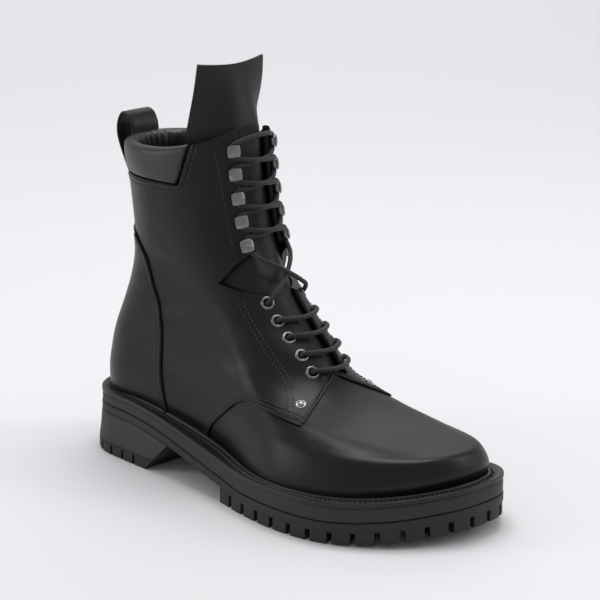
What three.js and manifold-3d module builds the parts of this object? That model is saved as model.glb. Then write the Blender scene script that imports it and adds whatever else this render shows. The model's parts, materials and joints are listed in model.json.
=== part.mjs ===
// A man's right combat boot: a lug outsole and heel, a midsole and a stitched welt under a tall hollow
// leather upper with a padded collar, five eyelets and five speed hooks on each side, and a zip on its inner
// side. Millimetres. While it is modelled, x = 0 is the back of the heel, +X points to the toe, -Y is the
// outer side and z = 0 is the floor. At the end the group is moved so that its origin is under its middle.
import * as THREE from "three";
import { mergeVertices } from "three/addons/utils/BufferGeometryUtils.js";
import Module from "manifold-3d";

const wasm = await Module();
wasm.setup();

// A table with named columns: one object for each row.
function table(names, rows) {
  return rows.map((row) => Object.fromEntries(row.map((value, i) => [names[i], value])));
}

// Driving sizes.
const LENGTH = 312; // the sole, heel to toe
const HEEL_TOP = 42; // the welt's top above the floor, at the heel
const BALL_TOP = 26; // the same under the ball of the foot
const TOE_SPRING = 9; // how far the toe lifts off the floor
const SPRING_START = 235; // x where it starts to lift
const GAP = 0.3; // left between pieces that meet
const WALL = 2; // the upper's leather with its lining
const CENTRED_LEVEL = 12; // from this ring up the last is centred over the heel

// The sole's outline seen from above: x, and how far it reaches to the outer and the inner side.
const OUTLINE = table(
  ["x", "outer", "inner"],
  [
    [0, 36, 36],
    [20, 37, 37],
    [45, 40.5, 39],
    [98, 48, 36],
    [150, 58, 37],
    [175, 65, 41],
    [200, 70, 46],
    [225, 71.5, 50],
    [250, 68, 55],
    [285, 56, 59],
    [312, 42, 54],
  ],
);
const HEEL_ROUND = { length: 32, power: 2.1 };
const TOE_ROUND = { length: 78, power: 2.6 };

// The last, ring by ring from the feather line up to the collar. Each ring runs from a point at the back to
// one at the front; heel, waist and ball are its half widths, roundBack and roundFront the lengths of its
// rounded ends, and follow is how much of the sole's curve it keeps.
const RINGS = table(
  ["back", "zBack", "front", "zFront", "heel", "waist", "ball", "roundBack", "roundFront", "follow"],
  [
    [9, 39.7, 302, 30.5, 32, 32, 53.5, 31, 72, 1],
    [9, 43, 302, 34, 32, 32, 53.5, 31, 72, 1],
    [9, 51, 303.5, 40, 33.5, 33.5, 54.5, 32, 74, 1],
    [9.8, 61, 302, 46, 34.3, 34, 53.5, 33, 76, 0.95],
    [11.3, 71, 298, 51.5, 34, 34, 51, 34, 79, 0.85],
    [13, 80, 289, 53, 33.2, 33, 47.5, 34, 81, 0.7],
    [15.3, 88, 275, 54.5, 32.3, 32, 43.5, 34, 83, 0.5],
    [18, 95, 256, 56.5, 31.5, 31.5, 39.5, 34, 84, 0.35],
    [20.7, 102, 237, 60.5, 30.5, 31, 36.5, 34, 84, 0.2],
    [23.4, 109, 218, 67, 30, 31, 34.5, 34, 80, 0.1],
    [26, 116, 201, 76.5, 29.5, 31, 33.5, 34, 74, 0],
    [28, 123, 188, 90, 29, 30.5, 32.5, 34, 68, 0],
    [29.5, 130, 172, 104, 28.5, 30.5, 32, 34, 62, 0],
    [30.5, 138, 157.5, 120, 28.5, 31, 32, 34, 58, 0],
    [30.5, 147, 146, 138, 29.5, 32, 32.5, 36, 55, 0],
    [30, 158, 137, 159, 30.5, 33, 33.5, 37, 54, 0],
    [28.5, 173, 131, 182, 31.5, 34, 34.5, 38, 53, 0],
    [26.5, 190, 127, 206, 32.5, 35, 35.5, 39, 53, 0],
    [25, 210, 125, 229, 33.5, 36, 36, 40, 53, 0],
  ],
);
const RING_STATIONS = { heel: 0.13, waist: 0.42, ball: 0.7 };
const RING_POWER = 2.15; // how full the rounded ends are
const COLLAR_SWEEP = 3; // how late the highest rings rise to the front

// Smoothly through values at places along a line.
function through(places, values, at) {
  const last = places.length - 1;
  if (at <= places[0]) return values[0];
  if (at >= places[last]) return values[last];
  let k = 0;
  while (at > places[k + 1]) k++;
  const slope = (i) => {
    if (i === 0 || i === last) return 0;
    return (values[i + 1] - values[i - 1]) / (places[i + 1] - places[i - 1]);
  };
  const span = places[k + 1] - places[k];
  const s = (at - places[k]) / span;
  const h00 = (1 + 2 * s) * (1 - s) ** 2;
  const h10 = s * (1 - s) ** 2;
  const h01 = s * s * (3 - 2 * s);
  const h11 = s * s * (s - 1);
  return h00 * values[k] + h10 * span * slope(k) + h01 * values[k + 1] + h11 * span * slope(k + 1);
}
const column = (rows, name) => rows.map((row) => row[name]);
const smooth = (s) => s * s * (3 - 2 * s);
const clamp01 = (s) => Math.min(1, Math.max(0, s));
const mix = (a, b, s) => a + (b - a) * s;

// 0 at the end of a rounded stretch, 1 where it has reached its full width.
function roundEnd(distance, length, power) {
  const s = 1 - clamp01(distance / length);
  return Math.pow(Math.max(0, 1 - Math.pow(s, power)), 1 / power);
}

// Heights along the sole.
const spring = (x) => TOE_SPRING * Math.max(0, (x - SPRING_START) / (LENGTH - SPRING_START)) ** 2;
const ARCH = { from: 40, to: 182 }; // the stretch where the sole comes down from the heel
const weltTop = (x) =>
  mix(HEEL_TOP, BALL_TOP, smooth(clamp01((x - ARCH.from) / (ARCH.to - ARCH.from)))) + spring(x);

// Half the difference of the two reaches is where the middle of the sole lies.
const reach = (side, x) => through(column(OUTLINE, "x"), column(OUTLINE, side), x);
const centreLine = (x) => (reach("inner", x) - reach("outer", x)) / 2;

// A closed loop of plan points, counter-clockwise from above, moved inwards by inset.
function moved(loop, inset) {
  return loop.map((p, i) => {
    const before = loop[(i + loop.length - 1) % loop.length];
    const after = loop[(i + 1) % loop.length];
    const along = after.clone().sub(before).normalize();
    return new THREE.Vector2(p.x - along.y * inset, p.y + along.x * inset);
  });
}
function outline(inset, steps = 28) {
  const side = (sign) =>
    Array.from({ length: steps + 1 }, (_, i) => {
      const x = (LENGTH * (1 - Math.cos((Math.PI * i) / steps))) / 2;
      const ends =
        roundEnd(x, HEEL_ROUND.length, HEEL_ROUND.power) *
        roundEnd(LENGTH - x, TOE_ROUND.length, TOE_ROUND.power);
      const half = (ends * (reach("outer", x) + reach("inner", x))) / 2;
      return new THREE.Vector2(x, centreLine(x) + sign * half);
    });
  return moved([...side(-1), ...side(1).reverse().slice(1, -1)], inset);
}

// A geometry from a list of corner triples, with shared corners merged and flat triangles left out.
function fromTriangles(triples) {
  const flat = new Float32Array(triples.length * 9);
  triples.forEach((corners, i) => corners.forEach((p, j) => flat.set([p.x, p.y, p.z], i * 9 + j * 3)));
  const made = mergeVertices(
    new THREE.BufferGeometry().setAttribute("position", new THREE.BufferAttribute(flat, 3)),
    1e-3,
  );
  const kept = [];
  for (let i = 0; i < made.index.count; i += 3) {
    const [a, b, c] = [0, 1, 2].map((j) => made.index.getX(i + j));
    if (a !== b && b !== c && c !== a) kept.push(a, b, c);
  }
  return made.setIndex(kept);
}
const quad = (a, b, c, d) => [
  [a, b, c],
  [a, c, d],
];

// An outline at two heights, which change along x, with faces that are flat across on both. The top may have
// its own outline.
function slab(loop, zLow, zHigh, topLoop = loop) {
  const half = loop.length / 2;
  const at = (i, z) => {
    const { x, y } = (z === zLow ? loop : topLoop)[i];
    return new THREE.Vector3(x, y, z(x));
  };
  const triples = [];
  for (let i = 0; i < loop.length; i++) {
    const j = (i + 1) % loop.length;
    triples.push(...quad(at(i, zLow), at(j, zLow), at(j, zHigh), at(i, zHigh)));
  }
  const other = (i) => (loop.length - i) % loop.length;
  for (let i = 0; i < half; i++) {
    triples.push(...quad(at(i, zHigh), at(i + 1, zHigh), at(other(i + 1), zHigh), at(other(i), zHigh)));
    triples.push(...quad(at(other(i), zLow), at(other(i + 1), zLow), at(i + 1, zLow), at(i, zLow)));
  }
  return fromTriangles(triples);
}

// Manifold solids, for cutting and joining.
function solid(geometry) {
  let plain = geometry.clone();
  plain.deleteAttribute("normal");
  plain.deleteAttribute("uv");
  plain = mergeVertices(plain, 1e-4);
  return new wasm.Manifold(
    new wasm.Mesh({
      numProp: 3,
      vertProperties: new Float32Array(plain.attributes.position.array),
      triVerts: new Uint32Array(plain.index.array),
    }),
  );
}
function geometryOf(made) {
  const mesh = made.getMesh();
  return new THREE.BufferGeometry()
    .setAttribute("position", new THREE.BufferAttribute(new Float32Array(mesh.vertProperties), 3))
    .setIndex(new THREE.BufferAttribute(new Uint32Array(mesh.triVerts), 1));
}

// A point of the last. level counts rings from the bottom, and turn goes once round it, from the back by the
// outer side.
const LEVELS = RINGS.length - 1;
const levels = RINGS.map((_, i) => i);
const ringColumns = Object.fromEntries(Object.keys(RINGS[0]).map((name) => [name, column(RINGS, name)]));
const ring = (name, level) => through(levels, ringColumns[name], level);
function lastPoint(level, turn) {
  const angle = 2 * Math.PI * turn;
  const along = (1 - Math.cos(angle)) / 2;
  const [back, front] = [ring("back", level), ring("front", level)];
  const x = mix(back, front, along);
  const widths = [ring("heel", level), ring("waist", level), ring("ball", level)];
  const half =
    through(Object.values(RING_STATIONS), widths, along) *
    roundEnd(x - back, ring("roundBack", level), RING_POWER) *
    roundEnd(front - x, ring("roundFront", level), RING_POWER);
  const centre = centreLine(x) * (1 - clamp01((level - 1) / (CENTRED_LEVEL - 1)));
  const sag = ring("follow", level) * (weltTop(x) - mix(weltTop(back), weltTop(front), along));
  const rise = Math.pow(along, 1 + COLLAR_SWEEP * (level / LEVELS) ** 3);
  const z = mix(ring("zBack", level), ring("zFront", level), rise) + sag;
  return new THREE.Vector3(x, centre - Math.sign(Math.sin(angle)) * half, z);
}
// The frame at a point of the last, moved out by offset: up the leg, round it, and the outward normal.
function lastFrame(level, turn, offset = 0) {
  const step = { turn: 0.004, level: 0.05 };
  const high = lastPoint(Math.min(LEVELS, level + step.level), turn);
  const up = high.sub(lastPoint(Math.max(0, level - step.level), turn));
  const round = lastPoint(level, turn + step.turn).sub(lastPoint(level, turn - step.turn));
  const normal = round.clone().cross(up).normalize();
  up.addScaledVector(normal, -up.dot(normal)).normalize();
  const point = lastPoint(level, turn).addScaledVector(normal, offset);
  return { point, up, round: up.clone().cross(normal), normal };
}
const skinPoint = (level, turn, offset) =>
  offset ? lastFrame(level, turn, offset).point : lastPoint(level, turn);

// Where a rising test passes zero between low and high.
function solve(test, low, high) {
  for (let i = 0; i < 40; i++) {
    const middle = (low + high) / 2;
    if (test(middle) > 0) high = middle;
    else low = middle;
  }
  return (low + high) / 2;
}
// The turn, on the outer side, at which a ring reaches x; and the level at which a turn reaches height z.
function turnAt(level, x) {
  const [back, front] = [ring("back", level), ring("front", level)];
  return Math.acos(1 - 2 * clamp01((x - back) / (front - back))) / (2 * Math.PI);
}
const levelAt = (turn, z) => solve((level) => lastPoint(level, turn).z - z, 0, LEVELS);
// The level and turn on the front of the last at which y and z have these values.
function spot(y, z) {
  const turnFor = (level) => solve((turn) => lastPoint(level, turn).y - y, 0.29, 0.71);
  const level = solve((at) => lastPoint(at, turnFor(at)).z - z, 7, LEVELS);
  return { level, turn: turnFor(level) };
}

// A closed sheet from point(row, column, face), each from 0 to 1: rows go up, columns go round, and face 1 is
// the outside.
function sheet(rows, columns, point) {
  const grid = (face) =>
    Array.from({ length: rows + 1 }, (_, r) =>
      Array.from({ length: columns + 1 }, (_, c) => point(r / rows, c / columns, face)),
    );
  const [ins, outs] = [grid(0), grid(1)];
  const triples = [];
  for (let c = 0; c < columns; c++) {
    for (let r = 0; r < rows; r++) {
      triples.push(...quad(outs[r][c], outs[r][c + 1], outs[r + 1][c + 1], outs[r + 1][c]));
      triples.push(...quad(ins[r][c], ins[r + 1][c], ins[r + 1][c + 1], ins[r][c + 1]));
    }
    triples.push(...quad(ins[0][c], ins[0][c + 1], outs[0][c + 1], outs[0][c]));
    triples.push(...quad(outs[rows][c], outs[rows][c + 1], ins[rows][c + 1], ins[rows][c]));
  }
  for (let r = 0; r < rows; r++) {
    triples.push(...quad(ins[r][0], outs[r][0], outs[r + 1][0], ins[r + 1][0]));
    triples.push(...quad(outs[r][columns], ins[r][columns], ins[r + 1][columns], outs[r + 1][columns]));
  }
  return fromTriangles(triples);
}
// A closed tube of rings, each a loop of points, with a fan over both ends.
function tube(rings) {
  const triples = [];
  const count = rings[0].length;
  for (let r = 0; r + 1 < rings.length; r++) {
    for (let i = 0; i < count; i++) {
      const j = (i + 1) % count;
      triples.push(...quad(rings[r][i], rings[r][j], rings[r + 1][j], rings[r + 1][i]));
    }
  }
  const middle = (loop) => loop.reduce((sum, p) => sum.add(p), new THREE.Vector3()).divideScalar(count);
  const [first, last] = [rings[0], rings[rings.length - 1]];
  const [firstMiddle, lastMiddle] = [middle(first), middle(last)];
  for (let i = 0; i < count; i++) {
    const j = (i + 1) % count;
    triples.push([firstMiddle, first[j], first[i]], [lastMiddle, last[i], last[j]]);
  }
  return fromTriangles(triples);
}
// A round cord along a smooth path through points.
function cordAlong(points, radius, steps, sides) {
  const path = new THREE.CatmullRomCurve3(points);
  const frames = path.computeFrenetFrames(steps);
  const rings = Array.from({ length: steps + 1 }, (_, i) =>
    Array.from({ length: sides }, (_, k) => {
      const angle = (2 * Math.PI * k) / sides;
      return path
        .getPointAt(i / steps)
        .addScaledVector(frames.normals[i], radius * Math.cos(angle))
        .addScaledVector(frames.binormals[i], radius * Math.sin(angle));
    }),
  );
  return tube(rings);
}
// A shape drawn in x and z, run along y from one place to another.
function sidePrism(corners, yFrom, yTo) {
  const shape = new THREE.Shape(corners.map(([x, z]) => new THREE.Vector2(x, z)));
  const made = new THREE.ExtrudeGeometry(shape, { depth: yTo - yFrom, bevelEnabled: false });
  return made.rotateX(Math.PI / 2).translate(0, yTo, 0);
}
// Put something made round the origin onto the last: its x goes round the leg, its y up and its z outwards.
function placed(geometry, { point, round, up, normal }) {
  return geometry.clone().applyMatrix4(new THREE.Matrix4().makeBasis(round, up, normal).setPosition(point));
}
function block(width, depth, height, x, y, z) {
  return new THREE.BoxGeometry(width, depth, height).translate(x, y, z);
}

const boot = new THREE.Group();
const MERGED_EDGE = 0.04; // edges this short are merged in pieces that have been cut
function piece(name, shape, material) {
  const geometry = shape instanceof THREE.BufferGeometry ? shape : geometryOf(shape.simplify(MERGED_EDGE));
  const mesh = new THREE.Mesh(geometry, material);
  mesh.name = name;
  boot.add(mesh);
}
const surface = (color, roughness, metalness = 0) =>
  new THREE.MeshStandardMaterial({ color, roughness, metalness });
const LEATHER = surface(0x1c1c1d, 0.42);
const SOFT_LEATHER = surface(0x232324, 0.5);
const SOLE_RUBBER = surface(0x1d1d1e, 0.7);
const WELT_RUBBER = surface(0x161617, 0.6);
const INSOLE_LEATHER = surface(0x2a2826, 0.75);
const CORD = surface(0x111112, 0.85);
const TAPE = surface(0x141415, 0.9);
const BRIGHT_METAL = surface(0xc9c9c7, 0.25, 1);
const DARK_METAL = surface(0x5d5b58, 0.4, 1);

// ---- The bottom unit: outsole with its lugs, heel, midsole, welt and insole.
const WELT = 2.7; // thick
const PLATE = 5.5; // the outsole without its lugs
const LUG_START = 151; // x of the first forepart lug
const BREAST = { bottom: 70, top: 96 }; // x of the heel's front face, low and high
const TREAD_INSET = 0.5;
const midsoleTop = (x) => weltTop(x) - WELT - GAP;
const midsoleDepth = (x) => mix(6.3, 9.2, smooth(clamp01((x - ARCH.from) / (ARCH.to - ARCH.from))));
const midsoleBottom = (x) => midsoleTop(x) - midsoleDepth(x);
const plateTop = (x) => midsoleBottom(x) - GAP;
const plateBottom = (x) => plateTop(x) - PLATE;

const FEATHER_STEPS = 36;
const feather = Array.from({ length: FEATHER_STEPS }, (_, i) => {
  const p = lastPoint(0, i / FEATHER_STEPS);
  return new THREE.Vector2(p.x, p.y);
});
const welt = solid(slab(outline(0), (x) => weltTop(x) - WELT, weltTop));
const BEAD = { width: 2.6, height: 1.5, sunk: 1.2 }; // the raised rib against the upper
const beadBottom = (x) => weltTop(x) - BEAD.sunk;
const beadTop = (x) => weltTop(x) + BEAD.height;
const bead = solid(slab(moved(feather, -GAP - BEAD.width), beadBottom, beadTop));
const aroundWelt = [(x) => weltTop(x) - WELT * 2, (x) => weltTop(x) + WELT * 2];
const footHole = solid(slab(moved(feather, -GAP), ...aroundWelt));
piece("welt", welt.add(bead).subtract(footHole), WELT_RUBBER);
piece("midsole", slab(outline(0.4), midsoleBottom, midsoleTop), SOLE_RUBBER);
const INSOLE = 4;
piece(
  "insole",
  slab(moved(feather, WALL + GAP), (x) => midsoleTop(x) + GAP, (x) => midsoleTop(x) + GAP + INSOLE),
  INSOLE_LEATHER,
);

const PAST = 20; // how far cutters reach past what they cut
const BOOT_HALF = 80; // wider than half the boot

// Blocks that cut grooves square to the edge of the sole, one every pitch along it, while inside says so.
function edgeGrooves({ pitch, width, length, top }, inside) {
  const loop = outline(TREAD_INSET);
  const cutters = [];
  let walked = pitch / 2;
  loop.forEach((p, i) => {
    const next = loop[(i + 1) % loop.length];
    const run = p.distanceTo(next);
    for (; walked < run; walked += pitch) {
      const at = p.clone().lerp(next, walked / run);
      if (!inside(at)) continue;
      const groove = block(width, length, PAST * 2, 0, 0, top(at.x) - PAST);
      groove.rotateZ(Math.atan2(next.y - p.y, next.x - p.x));
      cutters.push(solid(groove.translate(at.x, at.y, 0)));
    }
    walked -= run;
  });
  return cutters;
}
const LUG = { pitch: 15, width: 3.4, length: 26, top: (x) => plateBottom(x) - 0.6 };
const CHANNEL = { from: 13, to: 17 }; // the groove inside the outer lugs, measured in from the edge
const CROSS = { width: 4.4, at: [168, 186, 204, 222, 240, 258, 276, 294] }; // grooves across the middle
const FUSED = 1; // how far the tread goes up into the plate
const channelTop = (x) => plateBottom(x) - 1.2;
const belowFloor = (x) => spring(x) - PAST;
const insidePlate = (x) => plateBottom(x) + PLATE - FUSED;
const channel = solid(slab(outline(CHANNEL.from), belowFloor, channelTop)).subtract(
  solid(slab(outline(CHANNEL.to), belowFloor, insidePlate)),
);
const crossGrooves = CROSS.at.map((x) =>
  solid(block(CROSS.width, BOOT_HALF * 2, PAST, x, 0, channelTop(x) - PAST / 2)),
);
const inner = solid(slab(outline(CHANNEL.from + FUSED), belowFloor, insidePlate));
const FOREPART = LENGTH - LUG_START + PAST; // the length that has lugs, and more
const tread = solid(slab(outline(TREAD_INSET), spring, (x) => plateBottom(x) + FUSED))
  .intersect(solid(block(FOREPART, BOOT_HALF * 2, BOOT_HALF, LUG_START + FOREPART / 2, 0, 0)))
  .subtract(wasm.Manifold.union(edgeGrooves(LUG, (p) => p.x > LUG_START + LUG.pitch / 2)))
  .subtract(channel)
  .subtract(wasm.Manifold.union(crossGrooves).intersect(inner));
piece("outsole", solid(slab(outline(0), plateBottom, plateTop)).add(tread), SOLE_RUBBER);

const HEEL_LUG = { pitch: 12.5, width: 2.4, length: 18, top: () => 6.5 };
const HEEL_TREAD = { width: 3.4, length: 44, deep: 7, at: [20, 36, 52] };
const HEEL_FLARE = 2.2; // how far the heel's foot stands out past its top
const heelSide = [
  [-5, -5],
  [BREAST.bottom - 5, -5],
  [BREAST.bottom, 0],
  [BREAST.top, 25],
  [BREAST.top, 45],
  [-5, 45],
];
const heelTreads = HEEL_TREAD.at.map((x) =>
  solid(block(HEEL_TREAD.width, HEEL_TREAD.length, HEEL_TREAD.deep * 2, x, 0, 0)),
);
piece(
  "heel",
  solid(slab(outline(-HEEL_FLARE), () => 0, (x) => plateBottom(x) - GAP, outline(0)))
    .intersect(solid(sidePrism(heelSide, -BOOT_HALF, BOOT_HALF)))
    .subtract(wasm.Manifold.union(edgeGrooves(HEEL_LUG, (p) => p.x < BREAST.bottom - 7)))
    .subtract(wasm.Manifold.union(heelTreads)),
  SOLE_RUBBER,
);

// ---- The upper: one wall, from the feather line to the collar.
const SKIN = { steps: FEATHER_STEPS, rows: 18 };
const skin = (inner, outer) => {
  const rings = (offset, level) =>
    Array.from({ length: SKIN.steps }, (_, i) => skinPoint(level, i / SKIN.steps, offset));
  const heights = Array.from({ length: SKIN.rows + 1 }, (_, r) => (LEVELS * r) / SKIN.rows);
  const loops = [...heights.map((l) => rings(outer, l)), ...heights.reverse().map((l) => rings(inner, l))];
  const triples = [];
  loops.forEach((loop, r) => {
    const next = loops[(r + 1) % loops.length];
    loop.forEach((p, i) => {
      const j = (i + 1) % loop.length;
      triples.push(...quad(p, loop[j], next[j], next[i]));
    });
  });
  return fromTriangles(triples);
};
// The throat: y of its middle, and half its width below and above the notch.
const THROAT = { middle: 3.5, low: 7, high: 15 };
const throatLow = [
  [181, 62],
  [208, 91],
  [172, 146],
  [142, 140],
  [128, 112],
];
const throatHigh = [
  [100, 136],
  [190, 136],
  [190, 260],
  [100, 260],
];
const notch = [
  [123.5, 131.6],
  [154, 124.8],
  [175, 124.8],
  [175, 153],
  [139.5, 153],
];

// The zip's line on the inner side: x at a height, from the low stop to the collar.
const ZIP = { low: 88, high: 213, xLow: 83, xHigh: 66 };
const zipX = (z) => mix(ZIP.xLow, ZIP.xHigh, (z - ZIP.low) / (ZIP.high - ZIP.low));
// A strip along the zip, of a half width, between two offsets, from one height to another.
function zipStrip(half, inner, outer, zFrom, zTo, rows, columns = 1, above = 0) {
  return sheet(rows, columns, (r, c, face) => {
    const z = mix(zFrom, zTo, r);
    const middle = levelAt(-turnAt(LEVELS * 0.7, zipX(z)), z);
    const turn = -turnAt(middle, zipX(z) + mix(half, -half, c));
    const point = skinPoint(levelAt(turn, z), turn, mix(inner, outer, face));
    return r === 1 ? point.setZ(point.z + above) : point;
  });
}
const ZIP_SLOT = 3.6; // half its width
const zipSlot = zipStrip(ZIP_SLOT, -6, 6, ZIP.low - 3, 219, 9, 1, 20);

// The padded collar: where it ends at the front and at the zip, its low edge, and its section by height and
// offset.
const PAD = { low: 191, frontLow: 92, frontTop: 100, zipEnd: 57 };
const PAD_SECTION = table(
  ["height", "offset", "rise"],
  [
    [0, 0.2, 0],
    [0.16, 1.3, 0],
    [0.45, 1.9, 0],
    [0.8, 1.6, 0],
    [1, 0.3, 0.5],
    [1, -2, 1.6],
    [1, -4.6, 0.4],
    [0.75, -6.6, 0],
    [0.35, -6.4, 0],
    [0, -3.4, 0],
  ],
);
// A point of the collar pad: across goes from the zip's side, by the back, to the outer side's front end.
function padPoint(across, height, offset, rise, grow = 0) {
  const front = mix(PAD.frontLow, PAD.frontTop, height) + grow;
  const guess = LEVELS * mix(0.93, 1, height);
  const turn = mix(-turnAt(guess, PAD.zipEnd + grow), turnAt(guess, front), across);
  const level = mix(levelAt(turn, PAD.low - grow), LEVELS, height);
  const point = skinPoint(level, turn, offset);
  return point.setZ(point.z + rise);
}
const padSpace = sheet(4, 16, (r, c, face) => {
  const [height, above] = [Math.min(1, (r * 4) / 3), Math.max(0, r * 4 - 3)];
  return padPoint(c, height, mix(-9, 6, face), above * 8, GAP * 2);
});
const PAD_COLUMNS = 18;
const padRings = Array.from({ length: PAD_COLUMNS + 1 }, (_, c) =>
  PAD_SECTION.map(({ height, offset, rise }) => padPoint(c / PAD_COLUMNS, height, offset, rise)).reverse(),
);

// Eyelets and hooks: where each pair sits, by its height on the outer side.
const FASTENER_Y = { outer: -15.5, inner: 21.5 };
const EYELET_Z = [121.1, 111, 101.9, 92.7, 83.5];
const HOOK_Z = [154.7, 169.8, 184.4, 199.7, 214.5];
const EYELET = { hole: 2.5, barrel: 3.2, rim: 4.4, sides: 10 };
const SIDES = ["outer", "inner"];
const frameOn = (y, z, offset = 0) => {
  const { level, turn } = spot(y, z);
  return lastFrame(level, turn, offset);
};
const holeRadius = EYELET.barrel + GAP;
const eyeletHole = new THREE.CylinderGeometry(holeRadius, holeRadius, PAST, EYELET.sides);
eyeletHole.rotateX(Math.PI / 2);
const eyeletHoles = SIDES.flatMap((side) =>
  EYELET_Z.map((z) => solid(placed(eyeletHole, frameOn(FASTENER_Y[side], z)))),
);
piece(
  "upper",
  solid(skin(-WALL, 0))
    .subtract(solid(sidePrism(throatLow, THROAT.middle - THROAT.low, THROAT.middle + THROAT.low)))
    .subtract(solid(sidePrism(throatHigh, THROAT.middle - THROAT.high, THROAT.middle + THROAT.high)))
    .subtract(solid(sidePrism(notch, -BOOT_HALF, BOOT_HALF)))
    .subtract(solid(zipSlot))
    .subtract(solid(padSpace))
    .subtract(wasm.Manifold.union(eyeletHoles)),
  LEATHER,
);
piece("collar_pad", tube(padRings), SOFT_LEATHER);

// The heel counter lies on the upper, behind a line down each side.
const COUNTER_LINE = table(
  ["z", "x"],
  [
    [44, 81],
    [62, 78.5],
    [79, 75.5],
    [96, 74.5],
    [111, 68.5],
    [130, 56],
    [143, 43],
  ],
);
const COUNTER = { inner: 0.75, outer: 2, levels: [1.25, 2, 3, 4, 5, 6, 7, 8, 9, 10, 11, 12, 13, 13.6] };
piece(
  "counter",
  sheet(COUNTER.levels.length - 1, 12, (r, c, face) => {
    const level = COUNTER.levels[Math.round(r * (COUNTER.levels.length - 1))];
    const line = (z) => through(column(COUNTER_LINE, "z"), column(COUNTER_LINE, "x"), z);
    const backHeight = mix(ring("zBack", level), ring("zFront", level), 0.1);
    const edge = turnAt(level, line(backHeight));
    return skinPoint(level, mix(-edge, edge, c), mix(COUNTER.inner, COUNTER.outer, face));
  }),
  LEATHER,
);

// The tongue: under the throat it follows the last, and above the collar it stands up and flattens.
const TONGUE_WIDTH = table(
  ["level", "turn"],
  [
    [9, 0.085],
    [10.5, 0.12],
    [12, 0.19],
    [13.5, 0.215],
    [15, 0.195],
    [18, 0.2],
  ],
);
const TONGUE = { inner: -4.6, outer: -2.8, rows: 11, standing: 4, slack: 5.2 };
const TONGUE_TOP = { x: 104, bulge: 5, half: 29, z: 268, dip: 1.5 };
piece(
  "tongue",
  sheet(TONGUE.rows + TONGUE.standing, 12, (r, c, face) => {
    const row = r * (TONGUE.rows + TONGUE.standing);
    const level = Math.min(LEVELS, mix(TONGUE_WIDTH[0].level, LEVELS, row / TONGUE.rows));
    const across = 2 * c - 1;
    const half = through(column(TONGUE_WIDTH, "level"), column(TONGUE_WIDTH, "turn"), level);
    const loose = across < 0 ? TONGUE.slack : TONGUE.slack * 0.35; // it clears the pad on the outer side
    const slack = loose * smooth(clamp01(Math.abs(across) / 0.8)) * smooth(clamp01((level - 14) / 3));
    const p = skinPoint(level, 0.5 + across * half, mix(TONGUE.inner, TONGUE.outer, face) - slack);
    const stand = clamp01((row - TONGUE.rows) / TONGUE.standing);
    const flattened = mix(stand, 1 - (1 - stand) ** 2, c);
    const top = new THREE.Vector3(
      TONGUE_TOP.x + TONGUE_TOP.bulge * (1 - across ** 2) + face * (TONGUE.outer - TONGUE.inner),
      TONGUE_TOP.half * across,
      TONGUE_TOP.z - TONGUE_TOP.dip * (1 - across ** 2),
    );
    return new THREE.Vector3(mix(p.x, top.x, flattened), mix(p.y, top.y, stand), mix(p.z, top.z, stand));
  }),
  SOFT_LEATHER,
);

// The pull loop: a folded strap, drawn from the side.
const LOOP = { thick: 1.9, half: 11.5, steps: 16 };
const loopPath = new THREE.CatmullRomCurve3(
  [
    [22.4, 187],
    [17.2, 197],
    [12.6, 208],
    [12.4, 217],
    [16.4, 224],
    [22.4, 223.2],
    [26, 218],
    [27, 213.4],
  ].map(([x, z]) => new THREE.Vector3(x, z, 0)),
);
const loopPoints = loopPath.getSpacedPoints(LOOP.steps);
const loopEdge = (side) =>
  loopPoints.map((p, i) => {
    const [before, after] = [loopPoints[Math.max(i - 1, 0)], loopPoints[Math.min(i + 1, LOOP.steps)]];
    const along = after.clone().sub(before).normalize();
    return [p.x - (along.y * side * LOOP.thick) / 2, p.y + (along.x * side * LOOP.thick) / 2];
  });
const loopOutline = [...loopEdge(1), ...loopEdge(-1).reverse()];
piece("pull_loop", sidePrism(loopOutline, -LOOP.half, LOOP.half), LEATHER);

// ---- The zip: tape inside the wall, teeth in the slot, and a slider with its pull at the top.
piece("zip_tape", zipStrip(8, -3.4, -2.6, ZIP.low - 8, ZIP.high - 1, 10, 2), TAPE);
const TEETH = { half: 2.7, pitch: 5, low: 0.15, high: 0.9 };
const toothCount = Math.floor((ZIP.high - 2 - ZIP.low) / TEETH.pitch);
piece(
  "zip_teeth",
  sheet(toothCount * 2, 1, (r, c, face) => {
    const z = mix(ZIP.low, ZIP.high - 2, r);
    const middle = levelAt(-turnAt(LEVELS * 0.7, zipX(z)), z);
    const turn = -turnAt(middle, zipX(z) + mix(TEETH.half, -TEETH.half, c));
    const crest = Math.round(r * toothCount * 2) % 2 ? TEETH.high : TEETH.low;
    return skinPoint(levelAt(turn, z), turn, mix(-2.2, crest, face));
  }),
  BRIGHT_METAL,
);
const SLIDER = { z: 205, base: 1.3, top: 3.5, width: 8.4, length: 13 };
const BRIDGE = { half: 3.1, hole: 1.5, width: 3, roof: 1.3 };
const sliderTurn = -turnAt(LEVELS * 0.95, zipX(SLIDER.z));
const sliderFrame = lastFrame(levelAt(sliderTurn, SLIDER.z), sliderTurn);
const hingeHeight = SLIDER.top + BRIDGE.hole;
const bodyShape = new THREE.Shape([
  new THREE.Vector2(-SLIDER.width / 2, SLIDER.length / 2),
  new THREE.Vector2(-SLIDER.width / 2 + 1.6, -SLIDER.length / 2),
  new THREE.Vector2(SLIDER.width / 2 - 1.6, -SLIDER.length / 2),
  new THREE.Vector2(SLIDER.width / 2, SLIDER.length / 2),
  new THREE.Vector2(0, SLIDER.length / 2 + 1.4),
]);
const sliderBody = new THREE.ExtrudeGeometry(bodyShape, {
  depth: SLIDER.top - SLIDER.base,
  bevelEnabled: false,
}).translate(0, 0, SLIDER.base);
const bridgeTop = hingeHeight + BRIDGE.hole + BRIDGE.roof;
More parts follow.
